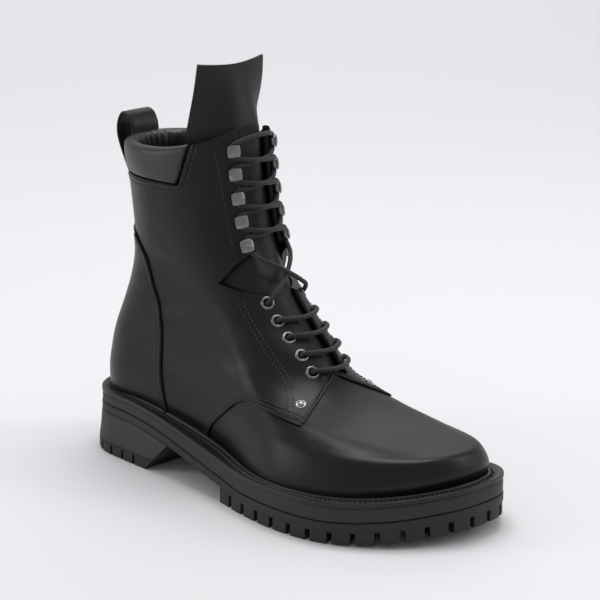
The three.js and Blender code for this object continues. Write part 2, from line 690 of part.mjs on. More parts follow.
const bridgeBlock = block(BRIDGE.width, BRIDGE.half * 2, bridgeTop - SLIDER.top + 0.5, 0, 0, 0);
const bridgeHole = new THREE.CylinderGeometry(BRIDGE.hole, BRIDGE.hole, BRIDGE.width * 2, 12);
bridgeHole.rotateZ(Math.PI / 2);
const bridge = solid(bridgeBlock.translate(0, 0, (bridgeTop + SLIDER.top - 0.5) / 2)).subtract(
  solid(bridgeHole.translate(0, 0, hingeHeight)),
);
piece("zip_slider", placed(geometryOf(solid(sliderBody).add(bridge)), sliderFrame), BRIGHT_METAL);

// The pull hangs from the bridge by its top bar, whose middle is its hinge.
const PULL = { thick: 1.3, bar: 0.75, head: 5.8, headLow: -14, neck: -20, tail: 3, low: -44, side: 1.5 };
const pullShape = new THREE.Shape()
  .moveTo(-PULL.head + 2, PULL.bar)
  .lineTo(PULL.head - 2, PULL.bar)
  .quadraticCurveTo(PULL.head, PULL.bar, PULL.head, PULL.bar - 3)
  .lineTo(PULL.head, PULL.headLow)
  .quadraticCurveTo(PULL.head, PULL.neck + 2, PULL.tail, PULL.neck)
  .lineTo(PULL.tail, PULL.low + 2)
  .quadraticCurveTo(PULL.tail, PULL.low, 0, PULL.low)
  .quadraticCurveTo(-PULL.tail, PULL.low, -PULL.tail, PULL.low + 2)
  .lineTo(-PULL.tail, PULL.neck)
  .quadraticCurveTo(-PULL.head, PULL.neck + 2, -PULL.head, PULL.headLow)
  .lineTo(-PULL.head, PULL.bar - 3)
  .quadraticCurveTo(-PULL.head, PULL.bar, -PULL.head + 2, PULL.bar);
const rectangle = (half, low, high) =>
  new THREE.Path([
    new THREE.Vector2(-half, low),
    new THREE.Vector2(half, low),
    new THREE.Vector2(half, high),
    new THREE.Vector2(-half, high),
  ]);
pullShape.holes.push(rectangle(PULL.head - PULL.side, PULL.headLow + 1, -PULL.bar));
pullShape.holes.push(rectangle(PULL.tail - PULL.side, PULL.low + 5, PULL.neck - 3));
const pullPlate = new THREE.ExtrudeGeometry(pullShape, {
  depth: PULL.thick,
  bevelEnabled: false,
  curveSegments: 4,
}).translate(0, 0, hingeHeight - PULL.thick / 2);
piece("zip_pull", placed(pullPlate, sliderFrame), BRIGHT_METAL);

// ---- Eyelets, hooks and rivets, in pairs.
const eyeletProfile = [
  [EYELET.hole, -1.7],
  [EYELET.barrel, -1.7],
  [EYELET.barrel, 0.7],
  [EYELET.rim, 0.7],
  [EYELET.rim - 0.3, 1.4],
  [EYELET.hole, 1.4],
  [EYELET.hole, -1.7],
].map(([x, y]) => new THREE.Vector2(x, y));
const eyelet = new THREE.LatheGeometry(eyeletProfile, EYELET.sides).rotateX(Math.PI / 2);
// A hook from the side: closed towards the throat, open away from it, with a plate over the lace.
const HOOK = { width: 7, closed: 4.4, open: -4.4, base: 0.3, thick: 0.9, top: 5.6 };
function hook(side) {
  const towardThroat = side === "outer" ? 1 : -1;
  const corners = [
    [HOOK.open, HOOK.base],
    [HOOK.closed - 1, HOOK.base],
    [HOOK.closed, HOOK.base + 1.4],
    [HOOK.closed, HOOK.top - 1.4],
    [HOOK.closed - 1, HOOK.top],
    [HOOK.open + 1, HOOK.top],
    [HOOK.open, HOOK.top - 0.6],
    [HOOK.open, HOOK.top - HOOK.thick],
    [HOOK.closed - 1.4, HOOK.top - HOOK.thick],
    [HOOK.closed - 1.4, HOOK.base + HOOK.thick],
    [HOOK.open, HOOK.base + HOOK.thick],
  ].map(([x, z]) => [x * towardThroat, z]);
  return sidePrism(corners, -HOOK.width / 2, HOOK.width / 2);
}
const rivet = new THREE.LatheGeometry(
  [
    [0, 0.3],
    [3.2, 0.3],
    [3.2, 0.8],
    [2.2, 1.7],
    [0, 2],
  ].map(([x, y]) => new THREE.Vector2(x, y)),
  10,
).rotateX(Math.PI / 2);
const RIVET = { outer: { y: -35.4, z: 68.9 }, inner: { y: 36.5, z: 68.9 } };
for (const side of SIDES) {
  EYELET_Z.forEach((z, i) =>
    piece(`eyelet_${side}_${i + 1}`, placed(eyelet, frameOn(FASTENER_Y[side], z)), BRIGHT_METAL),
  );
  HOOK_Z.forEach((z, i) =>
    piece(`hook_${side}_${i + 1}`, placed(hook(side), frameOn(FASTENER_Y[side], z)), DARK_METAL),
  );
  piece(`rivet_${side}`, placed(rivet, frameOn(RIVET[side].y, RIVET[side].z)), BRIGHT_METAL);
}

// ---- The lace: bars between the lower eyelets, crossings between the hooks.
const LACE = { radius: 1.5, sides: 5, steps: 6, over: 3.6, hook: 2.85, beside: 5.4 };
const lacePoint = (y, z, offset) => frameOn(y, z, offset).point;
// A strand from a height on the outer side to a height on the inner side.
function strand(fromZ, toZ, offset, arch = 0) {
  const stops = [0, 0.25, 0.5, 0.75, 1];
  const points = stops.map((s) =>
    lacePoint(
      mix(FASTENER_Y.outer, FASTENER_Y.inner, s),
      mix(fromZ, toZ, s) + arch * Math.sin(Math.PI * s),
      offset,
    ),
  );
  return cordAlong(points, LACE.radius, LACE.steps, LACE.sides);
}
EYELET_Z.slice(1).forEach((z, i) => piece(`lace_bar_${i + 1}`, strand(z, z, LACE.over), CORD));
HOOK_Z.slice(1).forEach((z, i) => {
  const [low, high] = [HOOK_Z[i] + LACE.beside, z - LACE.beside];
  piece(
    `lace_cross_${i + 2}`,
    solid(strand(low, high, LACE.hook)).add(solid(strand(high, low, LACE.hook))),
    CORD,
  );
});
piece(
  "lace_cross_1",
  solid(strand(EYELET_Z[0], HOOK_Z[0] - LACE.beside, LACE.over)).add(
    solid(strand(HOOK_Z[0] - LACE.beside, EYELET_Z[0], LACE.over)),
  ),
  CORD,
);
piece("lace_top", strand(HOOK_Z[4] + LACE.beside, HOOK_Z[4] + LACE.beside, LACE.hook, 3), CORD);

// The origin goes to the middle of the boot's footprint, on the floor.
const box = new THREE.Box3().setFromObject(boot);
boot.position.set(-(box.min.x + box.max.x) / 2, -(box.min.y + box.max.y) / 2, -box.min.z);
boot.updateMatrixWorld(true);
export default boot;
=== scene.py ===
import json
import math

import bpy
import numpy as np
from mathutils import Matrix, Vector

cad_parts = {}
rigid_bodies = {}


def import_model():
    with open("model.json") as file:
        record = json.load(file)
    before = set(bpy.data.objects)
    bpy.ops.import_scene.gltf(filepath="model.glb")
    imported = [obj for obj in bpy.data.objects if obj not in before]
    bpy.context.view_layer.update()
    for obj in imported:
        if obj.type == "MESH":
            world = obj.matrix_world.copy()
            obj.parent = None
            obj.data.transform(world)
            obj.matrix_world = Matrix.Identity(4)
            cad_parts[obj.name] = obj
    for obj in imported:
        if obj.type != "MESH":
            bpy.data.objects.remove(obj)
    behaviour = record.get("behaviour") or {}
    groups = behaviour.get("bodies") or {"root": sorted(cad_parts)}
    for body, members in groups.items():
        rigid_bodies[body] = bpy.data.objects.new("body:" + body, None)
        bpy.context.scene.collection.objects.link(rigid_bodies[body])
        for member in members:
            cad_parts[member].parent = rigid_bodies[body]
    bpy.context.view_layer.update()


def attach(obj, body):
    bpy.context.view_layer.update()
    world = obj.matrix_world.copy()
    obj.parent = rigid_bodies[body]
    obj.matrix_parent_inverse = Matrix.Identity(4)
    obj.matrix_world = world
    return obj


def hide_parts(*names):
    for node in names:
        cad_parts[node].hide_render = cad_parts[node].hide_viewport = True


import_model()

# ---- The studio: a pale seamless floor, a large soft light overhead, narrower ones at the sides and one for the
# background, and a camera half a metre up in front of the toe, on the outer side.
MM = 0.001
HEEL_BACK = Vector((-0.1549, 0.008204, 0))


def in_frame(points):
    return np.asarray(points, float) * MM + np.array(HEEL_BACK)


def node_material(name):
    material = bpy.data.materials.new(name)
    material.use_nodes = True
    nodes = material.node_tree.nodes
    nodes.clear()
    shader = nodes.new("ShaderNodeBsdfPrincipled")
    output = nodes.new("ShaderNodeOutputMaterial")
    material.node_tree.links.new(shader.outputs["BSDF"], output.inputs["Surface"])
    return material, shader


CAMERA = {"towards": (0.6649, -0.7006, 0.2588), "distance": 1600, "aim": (150, 0, 120), "lens": 152.0, "shift": 0.03}
# The camera looks back along the boot from its outer front.
towards_camera = Vector(CAMERA["towards"]).normalized()
aim = Vector(CAMERA["aim"]) * MM + HEEL_BACK
camera = bpy.data.objects.new("camera", bpy.data.cameras.new("camera"))
bpy.context.scene.collection.objects.link(camera)
camera.location = aim + towards_camera * CAMERA["distance"] * MM
camera.rotation_euler = (-towards_camera).to_track_quat("-Z", "Y").to_euler()
camera.data.lens = CAMERA["lens"]
camera.data.shift_x = CAMERA["shift"]
camera.data.clip_start, camera.data.clip_end = 0.05, 50
bpy.context.scene.camera = camera


def softbox(name, at, size, power, target=(0.0, 0.0, 0.08)):
    light = bpy.data.lights.new(name, "AREA")
    light.shape, light.size, light.size_y, light.energy = "RECTANGLE", size[0], size[1], power
    lamp = bpy.data.objects.new(name, light)
    lamp.location = at
    lamp.rotation_euler = (Vector(target) - Vector(at)).to_track_quat("-Z", "Y").to_euler()
    bpy.context.scene.collection.objects.link(lamp)


softbox("overhead_softbox", (-0.1, 0.2, 1.7), (0.9, 0.7), 12.5)
softbox("left_softbox", (-1.15, -1.3, 0.6), (0.4, 0.9), 5.2)
softbox("right_softbox", (1.1, 0.95, 0.9), (0.4, 1.0), 5)
softbox("background_softbox", (-2.2, 2.2, 2.4), (3.0, 3.0), 38, (-2.6, 2.6, 0.0))

world = bpy.data.worlds.new("studio")
bpy.context.scene.world = world
world.use_nodes = True
sky = world.node_tree
sky.nodes["Background"].inputs["Color"].default_value = (0.95, 0.97, 1.0, 1)
height_up = sky.nodes.new("ShaderNodeSeparateXYZ")
sky.links.new(sky.nodes.new("ShaderNodeTexCoord").outputs["Generated"], height_up.inputs[0])
brighter_up = sky.nodes.new("ShaderNodeMapRange")
sky.links.new(height_up.outputs["Z"], brighter_up.inputs["Value"])
brighter_up.inputs["From Min"].default_value, brighter_up.inputs["From Max"].default_value = -0.1, 0.9
brighter_up.inputs["To Min"].default_value, brighter_up.inputs["To Max"].default_value = 0.6, 0.5
sky.links.new(brighter_up.outputs["Result"], sky.nodes["Background"].inputs["Strength"])
bpy.context.scene.view_settings.view_transform = "Standard"

FLOOR = {"size": 14, "colour": (0.82, 0.82, 0.83, 1)}
bpy.ops.mesh.primitive_plane_add(size=FLOOR["size"])
floor = bpy.context.object
floor.name = "floor"
floor_paper, shader = node_material("seamless_paper")
shader.inputs["Base Color"].default_value = FLOOR["colour"]
shader.inputs["Roughness"].default_value = 0.75
shader.inputs["Specular IOR Level"].default_value = 0.25
floor.data.materials.append(floor_paper)

# ---- The last and the upper: the leather is pulled over a last and tacked under it, so its form is the last's. The
# last is drawn as rings that tilt from the sole to the collar. The upper is one hollow wall with its lining, open
# at the throat, at the notch above the ankle and along the zip.
LENGTH = 312
OUTLINE_X = [0, 20, 45, 98, 150, 175, 200, 225, 250, 285, 312]
OUTLINE_OUTER = [36, 37, 40.5, 48, 58, 65, 70, 71.5, 68, 56, 42]
OUTLINE_INNER = [36, 37, 39, 36, 37, 41, 46, 50, 55, 59, 54]
RING_NAMES = ["back", "z_back", "front", "z_front", "heel", "waist", "ball", "round_back", "round_front", "follow"]
RINGS = np.array(
    [
        [9, 39.7, 302, 30.5, 32, 32, 53.5, 31, 72, 1],
        [9, 43, 302, 34, 32, 32, 53.5, 31, 72, 1],
        [9, 51, 303.5, 40, 33.5, 33.5, 54.5, 32, 74, 1],
        [9.8, 61, 302, 46, 34.3, 34, 53.5, 33, 76, 0.95],
        [11.3, 71, 298, 51.5, 34, 34, 51, 34, 79, 0.85],
        [13, 80, 289, 53, 33.2, 33, 47.5, 34, 81, 0.7],
        [15.3, 88, 275, 54.5, 32.3, 32, 43.5, 34, 83, 0.5],
        [18, 95, 256, 56.5, 31.5, 31.5, 39.5, 34, 84, 0.35],
        [20.7, 102, 237, 60.5, 30.5, 31, 36.5, 34, 84, 0.2],
        [23.4, 109, 218, 67, 30, 31, 34.5, 34, 80, 0.1],
        [26, 116, 201, 76.5, 29.5, 31, 33.5, 34, 74, 0],
        [28, 123, 188, 90, 29, 30.5, 32.5, 34, 68, 0],
        [29.5, 130, 172, 104, 28.5, 30.5, 32, 34, 62, 0],
        [30.5, 138, 157.5, 120, 28.5, 31, 32, 34, 58, 0],
        [30.5, 147, 146, 138, 29.5, 32, 32.5, 36, 55, 0],
        [30, 158, 137, 159, 30.5, 33, 33.5, 37, 54, 0],
        [28.5, 173, 131, 182, 31.5, 34, 34.5, 38, 53, 0],
        [26.5, 190, 127, 206, 32.5, 35, 35.5, 39, 53, 0],
        [25, 210, 125, 229, 33.5, 36, 36, 40, 53, 0],
    ]
)
TOP_LEVEL = len(RINGS) - 1


def mix(a, b, s):
    return a + (b - a) * s


def eased(s):
    s = np.clip(s, 0, 1)
    return s * s * (3 - 2 * s)


def through(places, values, at):
    """Smoothly through values at places along a line, for one column of values or one for each point."""
    places, values = np.asarray(places, float), np.asarray(values, float)
    at = np.clip(np.asarray(at, float), places[0], places[-1])
    gaps = places[2:] - places[:-2]
    slopes = np.zeros_like(values)
    slopes[1:-1] = (values[2:] - values[:-2]) / (gaps if values.ndim == 1 else gaps[:, None])
    k = np.clip(np.searchsorted(places, at, side="right") - 1, 0, len(places) - 2)
    pick = (lambda a, j: a[j]) if values.ndim == 1 else (lambda a, j: a[j, np.arange(len(at))])
    span = places[k + 1] - places[k]
    s = (at - places[k]) / span
    return (
        (1 + 2 * s) * (1 - s) ** 2 * pick(values, k)
        + s * (1 - s) ** 2 * span * pick(slopes, k)
        + s * s * (3 - 2 * s) * pick(values, k + 1)
        + s * s * (s - 1) * span * pick(slopes, k + 1)
    )


def round_end(distance, length, power):
    s = 1 - np.clip(distance / length, 0, 1)
    return np.maximum(0, 1 - s**power) ** (1 / power)


def spring(x):
    return 9 * np.maximum(0, (x - 235) / 77) ** 2


def welt_top(x):
    return mix(42, 26, eased((x - 40) / 142)) + spring(x)


def centre_line(x):
    return (through(OUTLINE_X, OUTLINE_INNER, x) - through(OUTLINE_X, OUTLINE_OUTER, x)) / 2


def ring(level):
    levels = np.arange(len(RINGS))
    return {name: through(levels, RINGS[:, i], level) for i, name in enumerate(RING_NAMES)}


def last_point(level, turn):
    """Points of the last: level counts its rings, turn goes once round from the back by the outer side."""
    level, turn = np.broadcast_arrays(np.asarray(level, float), np.asarray(turn, float))
    shape, level, turn = level.shape, level.ravel(), turn.ravel()
    r = ring(level)
    along = (1 - np.cos(2 * np.pi * turn)) / 2
    x = mix(r["back"], r["front"], along)
    half = through([0.13, 0.42, 0.7], np.array([r["heel"], r["waist"], r["ball"]]), along)
    half = half * round_end(x - r["back"], r["round_back"], 2.15) * round_end(r["front"] - x, r["round_front"], 2.15)
    centre = centre_line(x) * (1 - np.clip((level - 1) / 11, 0, 1))
    sag = r["follow"] * (welt_top(x) - mix(welt_top(r["back"]), welt_top(r["front"]), along))
    z = mix(r["z_back"], r["z_front"], along ** (1 + 3 * (level / TOP_LEVEL) ** 3)) + sag
    y = centre - np.sign(np.sin(2 * np.pi * turn)) * half
    return np.stack([x, y, z], -1).reshape(*shape, 3)


def last_normal(level, turn):
    up = last_point(np.minimum(TOP_LEVEL, level + 0.06), turn) - last_point(np.maximum(0, level - 0.06), turn)
    across = last_point(level, turn + 0.003) - last_point(level, turn - 0.003)
    normal = np.cross(across, up)
    return normal / np.linalg.norm(normal, axis=-1, keepdims=True)


# Soft creases where the boot flexes: the side (-1 outer, 1 inner), where each starts and ends (x, z), its width and
# its depth; a negative depth is a ridge.
CREASES = [
    [-1, 52, 104, 104, 121, 9, 0.9],
    [-1, 62, 95, 112, 106, 8, -0.6],
    [-1, 44, 131, 92, 143, 10, 0.7],
    [-1, 40, 118, 84, 129, 8, -0.5],
    [-1, 120, 92, 158, 82, 9, 0.7],
    [-1, 112, 80, 150, 73, 8, -0.5],
    [-1, 38, 158, 86, 163, 12, 0.6],
    [-1, 214, 58, 246, 47, 9, 0.5],
    [1, 50, 102, 108, 119, 9, 0.9],
    [1, 60, 93, 112, 104, 8, -0.6],
    [1, 118, 94, 160, 83, 9, 0.8],
    [1, 112, 81, 150, 73, 8, -0.5],
    [1, 100, 128, 128, 118, 9, 0.6],
    [1, 214, 58, 246, 47, 9, 0.5],
]


def relief(points):
    depth = np.zeros(points.shape[:-1])
    for side, x1, z1, x2, z2, width, deep in CREASES:
        run = np.array([x2 - x1, z2 - z1], float)
        length = np.linalg.norm(run)
        away = points[..., [0, 2]] - np.array([x1, z1])
        s = (away @ run) / length**2
        across = (away[..., 0] * run[1] - away[..., 1] * run[0]) / length
        across = across + 2.5 * np.sin(s * 5 + x1)
        fade = eased(s / 0.35) * eased((1 - s) / 0.35) * eased((points[..., 1] * side) / 14)
        depth = depth + 0.6 * deep * fade * np.exp(-((across / width * 1.7) ** 2))
    return depth


def skin(level, turn, offset):
    """Points a little way off the last, along its normal, with the creases."""
    points = last_point(level, turn)
    away = np.asarray(offset - relief(points))
    return points + last_normal(level, turn) * away[..., None]


def on_last(level, turn):
    """Points on the leather and the normals there."""
    return skin(level, turn, 0), last_normal(level, turn)


def turn_at(level, x):
    r = ring(np.asarray(level, float))
    return np.arccos(1 - 2 * np.clip((x - r["back"]) / (r["front"] - r["back"]), 0, 1)) / (2 * np.pi)


FRONT_TURNS = (0.29, 0.71)
FRONT_LOW_LEVEL = 7
HALVINGS = 26


def solved(test, low, high, like):
    """Where a rising test passes zero, for each of many points at once."""
    low, high = np.full(np.shape(like), float(low)), np.full(np.shape(like), float(high))
    for _ in range(HALVINGS):
        middle = (low + high) / 2
        above = test(middle) > 0
        high, low = np.where(above, middle, high), np.where(above, low, middle)
    return (low + high) / 2


def on_side(x, z, side):
    """The level and turn at which a side (-1 outer, 1 inner) has this x and z."""
    x, z = np.asarray(x, float), np.asarray(z, float)
    level = solved(lambda at: last_point(at, turn_at(at, x))[..., 2] - z, 0, TOP_LEVEL, x)
    return level, turn_at(level, x) * (1 if side < 0 else -1)


def on_front(y, z):
    """The level and turn on the front of the leg at which y and z have these values."""
    y, z = np.asarray(y, float), np.asarray(z, float)

    def turned_to(level):
        return solved(lambda turn: last_point(level, turn)[..., 1] - y, *FRONT_TURNS, y)

    level = solved(lambda at: last_point(at, turned_to(at))[..., 2] - z, FRONT_LOW_LEVEL, TOP_LEVEL, y)
    return level, turned_to(level)


def level_of(turn, z):
    """The level at which each turn has the height z."""
    return solved(lambda at: last_point(at, turn)[..., 2] - z, 0, TOP_LEVEL, turn)


def start(kind, name, **sizes):
    """A primitive, on its own in the selection."""
    bpy.ops.object.select_all(action="DESELECT")
    getattr(bpy.ops.mesh, f"primitive_{kind}_add")(**sizes)
    piece = bpy.context.object
    piece.name = piece.data.name = name
    return piece


def corners(piece):
    flat = np.empty(len(piece.data.vertices) * 3)
    piece.data.vertices.foreach_get("co", flat)
    return flat.reshape(-1, 3)


def put(piece, points):
    piece.data.vertices.foreach_set("co", np.asarray(points, float).ravel())
    piece.data.update()


def grid(name, columns, rows):
    """A flat grid to shape, and how far along its columns and its rows each point lies, from 0 to 1."""
    piece = start("grid", name, x_subdivisions=columns, y_subdivisions=rows, size=1)
    flat = corners(piece)[:, :2] + 0.5
    return piece, flat[:, 0], flat[:, 1]


def counted(part, count):
    """Parts from 0 to 1 as whole steps out of a count."""
    return np.rint(part * count).astype(int)


def only(piece):
    """The piece on its own in the selection, and active."""
    bpy.ops.object.select_all(action="DESELECT")
    piece.select_set(True)
    bpy.context.view_layer.objects.active = piece


def outwards():
    bpy.ops.mesh.normals_make_consistent(inside=False)


def shaped(piece, *steps):
    """Edit-mode operators on the whole piece, in turn."""
    only(piece)
    bpy.ops.object.mode_set(mode="EDIT")
    bpy.ops.mesh.select_all(action="SELECT")
    for step in steps:
        step()
    bpy.ops.object.mode_set(mode="OBJECT")


def merged(piece, within=1e-6, filled=False):
    """Points that meet are joined, open ends are filled if asked, and faces are turned outwards."""
    steps = [lambda: bpy.ops.mesh.remove_doubles(threshold=within)]
    if filled:
        steps.append(lambda: bpy.ops.mesh.fill_holes(sides=0))
    shaped(piece, *steps, outwards)


def finished(piece, kind, **settings):
    """A modifier, applied."""
    modifier = piece.modifiers.new(kind.lower(), kind)
    for name, value in settings.items():
        setattr(modifier, name, value)
    only(piece)
    bpy.ops.object.modifier_apply(modifier=modifier.name)


def smoothed(piece, degrees=35):
    only(piece)
    bpy.ops.object.shade_smooth_by_angle(angle=math.radians(degrees))


def lasted(name, columns, rows, turns, levels, offset, thick):
    """A sheet of leather on the last between two turns and two levels, with its thickness inwards."""
    piece, across, up = grid(name, columns, rows)
    put(piece, in_frame(skin(mix(*levels, up), mix(*turns, across), offset)))
    if turns[1] - turns[0] >= 1:
        shaped(piece, lambda: bpy.ops.mesh.remove_doubles(threshold=1e-6))
    finished(piece, "SOLIDIFY", thickness=thick * MM, offset=-1, use_even_offset=False)
    return piece


def side_cutter(outline, y_from, y_to):
    """A block with this outline seen from the side, from one y to another."""
    piece = start("circle", "side_cutter", vertices=len(outline), radius=1, fill_type="NGON")
    put(piece, in_frame([[x, y_from, z] for x, z in outline]))
    across = (0, (y_to - y_from) * MM, 0)
    shaped(
        piece,
        lambda: bpy.ops.mesh.extrude_region_move(TRANSFORM_OT_translate={"value": across}),
        lambda: bpy.ops.mesh.select_all(action="SELECT"),
        outwards,
    )
    return piece


def carved(piece, cutter, operation="DIFFERENCE", keep=False):
    finished(piece, "BOOLEAN", object=cutter, operation=operation, solver="MANIFOLD")
    if not keep:
        bpy.data.objects.remove(cutter)


def joined(pieces):
    bpy.ops.object.select_all(action="DESELECT")
    for piece in pieces:
        piece.select_set(True)
    bpy.context.view_layer.objects.active = pieces[0]
    if len(pieces) > 1:
        bpy.ops.object.join()
    return bpy.context.view_layer.objects.active


THROAT_MIDDLE = 3.5
THROAT_LOW = [[181, 62], [208, 91], [172, 146], [142, 140], [128, 112]]
THROAT_HIGH = [[100, 136], [190, 136], [190, 260], [100, 260]]
NOTCH = [[123.5, 131.6], [154, 124.8], [175, 124.8], [175, 153], [139.5, 153]]
EYELET_Z = [121.1, 111, 101.9, 92.7, 83.5]
HOOK_Z = [154.7, 169.8, 184.4, 199.7, 214.5]
FASTENER_Y = {"outer": -15.5, "inner": 21.5}
ZIP = {"low": 88, "high": 213, "x_low": 83, "x_high": 66, "slot": 3.6, "follow_to": 212, "cut_top": 222}
THROAT_HALF = {"low": 7, "high": 15}
UPPER_Y = (-60, 60)
RIVET_Y, RIVET_Z = {"outer": -35.4, "inner": 26.7}, 68.9


def front_frames(y, z):
    """Points on the front of the leg at each y and z, each with the directions round it, up it and out of it."""
    level, turn = on_front(y, z)
    points, normals = last_point(level, turn), last_normal(level, turn)
    points = points - normals * relief(points)[:, None]
    up = last_point(level + 0.05, turn) - last_point(level - 0.05, turn)
    up = up - normals * np.sum(up * normals, 1, keepdims=True)
    up /= np.linalg.norm(up, axis=1, keepdims=True)
    return list(zip(points, np.cross(up, normals), up, normals))


eyelet_frames, hook_frames, rivet_frames = {}, {}, {}
for side_name, y in FASTENER_Y.items():
    found = front_frames(np.array([y] * 10 + [RIVET_Y[side_name]]), np.array([*EYELET_Z, *HOOK_Z, RIVET_Z]))
    eyelet_frames[side_name], hook_frames[side_name], rivet_frames[side_name] = found[:5], found[5:10], found[10]


def zip_x(z):
    return mix(ZIP["x_low"], ZIP["x_high"], (z - ZIP["low"]) / (ZIP["high"] - ZIP["low"]))


def zip_point(z, across, offset):
    """A point beside the zip's line, on the inner side."""
    level, turn = on_side(zip_x(z) - across, z, 1)
    return skin(level, turn, offset)


def upper_cutters(piece):
    """The openings that every layer of the upper has."""
    for outline, half in ((THROAT_LOW, THROAT_HALF["low"]), (THROAT_HIGH, THROAT_HALF["high"])):
        carved(piece, side_cutter(outline, THROAT_MIDDLE - half, THROAT_MIDDLE + half))
    carved(piece, side_cutter(NOTCH, *UPPER_Y))


def zip_cutter(half):
    """A slab on the zip's line, straight up from where the leather ends, and through every layer."""
    piece, across, up = grid("zip_cutter", 1, 24)
    z = mix(ZIP["low"] - 3, ZIP["cut_top"], up)
    points = zip_point(np.minimum(z, ZIP["follow_to"]), mix(-half, half, across), 6)
    points[:, 2] += np.maximum(0, z - ZIP["follow_to"])
    put(piece, in_frame(points))
    finished(piece, "SOLIDIFY", thickness=12 * MM, offset=-1)
    shaped(piece, outwards)
    return piece


upper = lasted("upper_skin", 260, 150, (0, 1), (0, TOP_LEVEL), 0, 2)
upper_cutters(upper)
smoothed(upper)
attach(upper, "boot")
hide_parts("upper")


def node_group(name, inputs, outputs):
    """A shader node group with number or vector inputs, {name: default}, and number outputs."""
    group = bpy.data.node_groups.new(name, "ShaderNodeTree")
    for label, value in inputs.items():
        kind = "NodeSocketVector" if value is None else "NodeSocketFloat"
        socket = group.interface.new_socket(name=label, in_out="INPUT", socket_type=kind)
        if value is not None:
            socket.default_value = value
    for label in outputs:
        group.interface.new_socket(name=label, in_out="OUTPUT", socket_type="NodeSocketFloat")
    return group, group.nodes.new("NodeGroupInput"), group.nodes.new("NodeGroupOutput")


def wired(tree, kind, sockets, **settings):
    """A node with its inputs linked to sockets or set to values."""
    node = tree.nodes.new(kind)
    for name, value in settings.items():
        setattr(node, name, value)
    for key, value in sockets.items():
        if isinstance(value, bpy.types.NodeSocket):
            tree.links.new(value, node.inputs[key])
        else:
            node.inputs[key].default_value = value
    return node


def mixed(tree, factor, *colours):
    """A colour between two, each a socket or a value, by a factor."""
    mixer = tree.nodes.new("ShaderNodeMix")
    mixer.data_type = "RGBA"
    tree.links.new(factor, mixer.inputs[0])
    for key, colour in zip((6, 7), colours):
        if isinstance(colour, bpy.types.NodeSocket):
            tree.links.new(colour, mixer.inputs[key])
        else:
            mixer.inputs[key].default_value = (*colour, 1)
    return mixer.outputs[2]


def leather_grain():
    """Fine pores and hair cells over broad, soft unevenness of the hide."""
    given_sockets = {"Vector": None, "Scale": 900.0, "Unevenness": 0.0}
    tree, given, made = node_group("leather_grain", given_sockets, ["Height", "Mottle"])
    at, scale = given.outputs["Vector"], given.outputs["Scale"]
    cells = wired(tree, "ShaderNodeTexVoronoi", {"Vector": at, "Scale": scale}, feature="SMOOTH_F1")
    coarse = wired(tree, "ShaderNodeMath", {0: scale, 1: 0.35}, operation="MULTIPLY")
    wrinkles = wired(tree, "ShaderNodeTexNoise", {"Vector": at, "Scale": coarse.outputs[0], "Detail": 5.0})
    pores = {0: cells.outputs["Distance"], 1: 0.6, 2: wrinkles.outputs["Fac"]}
    summed = wired(tree, "ShaderNodeMath", pores, operation="MULTIPLY_ADD")
    mottle = wired(tree, "ShaderNodeTexNoise", {"Vector": at, "Scale": 28.0, "Detail": 3.0, "Roughness": 0.55})
    swelling = {0: mottle.outputs["Fac"], 1: given.outputs["Unevenness"], 2: summed.outputs[0]}
    uneven = wired(tree, "ShaderNodeMath", swelling, operation="MULTIPLY_ADD")
    tree.links.new(uneven.outputs[0], made.inputs["Height"])
    tree.links.new(mottle.outputs["Fac"], made.inputs["Mottle"])
    return tree


def scuffs():
    """Short, thin scratches and rubbed spots, as a mask."""
    tree, given, made = node_group("scuffs", {"Vector": None, "Scale": 160.0, "Amount": 0.5}, ["Mask"])
    at, scale = given.outputs["Vector"], given.outputs["Scale"]
    drawn_out = {"Vector": at, "Rotation": (0.4, 0.9, 0.3), "Scale": (1.0, 0.14, 1.0)}
    stretched = wired(tree, "ShaderNodeMapping", drawn_out)
    scratches = {"Vector": stretched.outputs["Vector"], "Scale": scale, "Detail": 6.0, "Roughness": 0.7}
    lines = wired(tree, "ShaderNodeTexNoise", scratches)
    spots = wired(tree, "ShaderNodeTexNoise", {"Vector": at, "Scale": 24.0, "Detail": 2.0})
    both = wired(tree, "ShaderNodeMath", {0: lines.outputs["Fac"], 1: spots.outputs["Fac"]}, operation="MULTIPLY")
    shown = wired(tree, "ShaderNodeMapRange", {"Value": both.outputs[0], "From Min": 0.3, "From Max": 0.42})
    limited = {0: shown.outputs["Result"], 1: given.outputs["Amount"]}
    amount = wired(tree, "ShaderNodeMath", limited, operation="MULTIPLY")
    tree.links.new(amount.outputs[0], made.inputs["Mask"])
    return tree


GRAIN, SCUFFS = leather_grain(), scuffs()


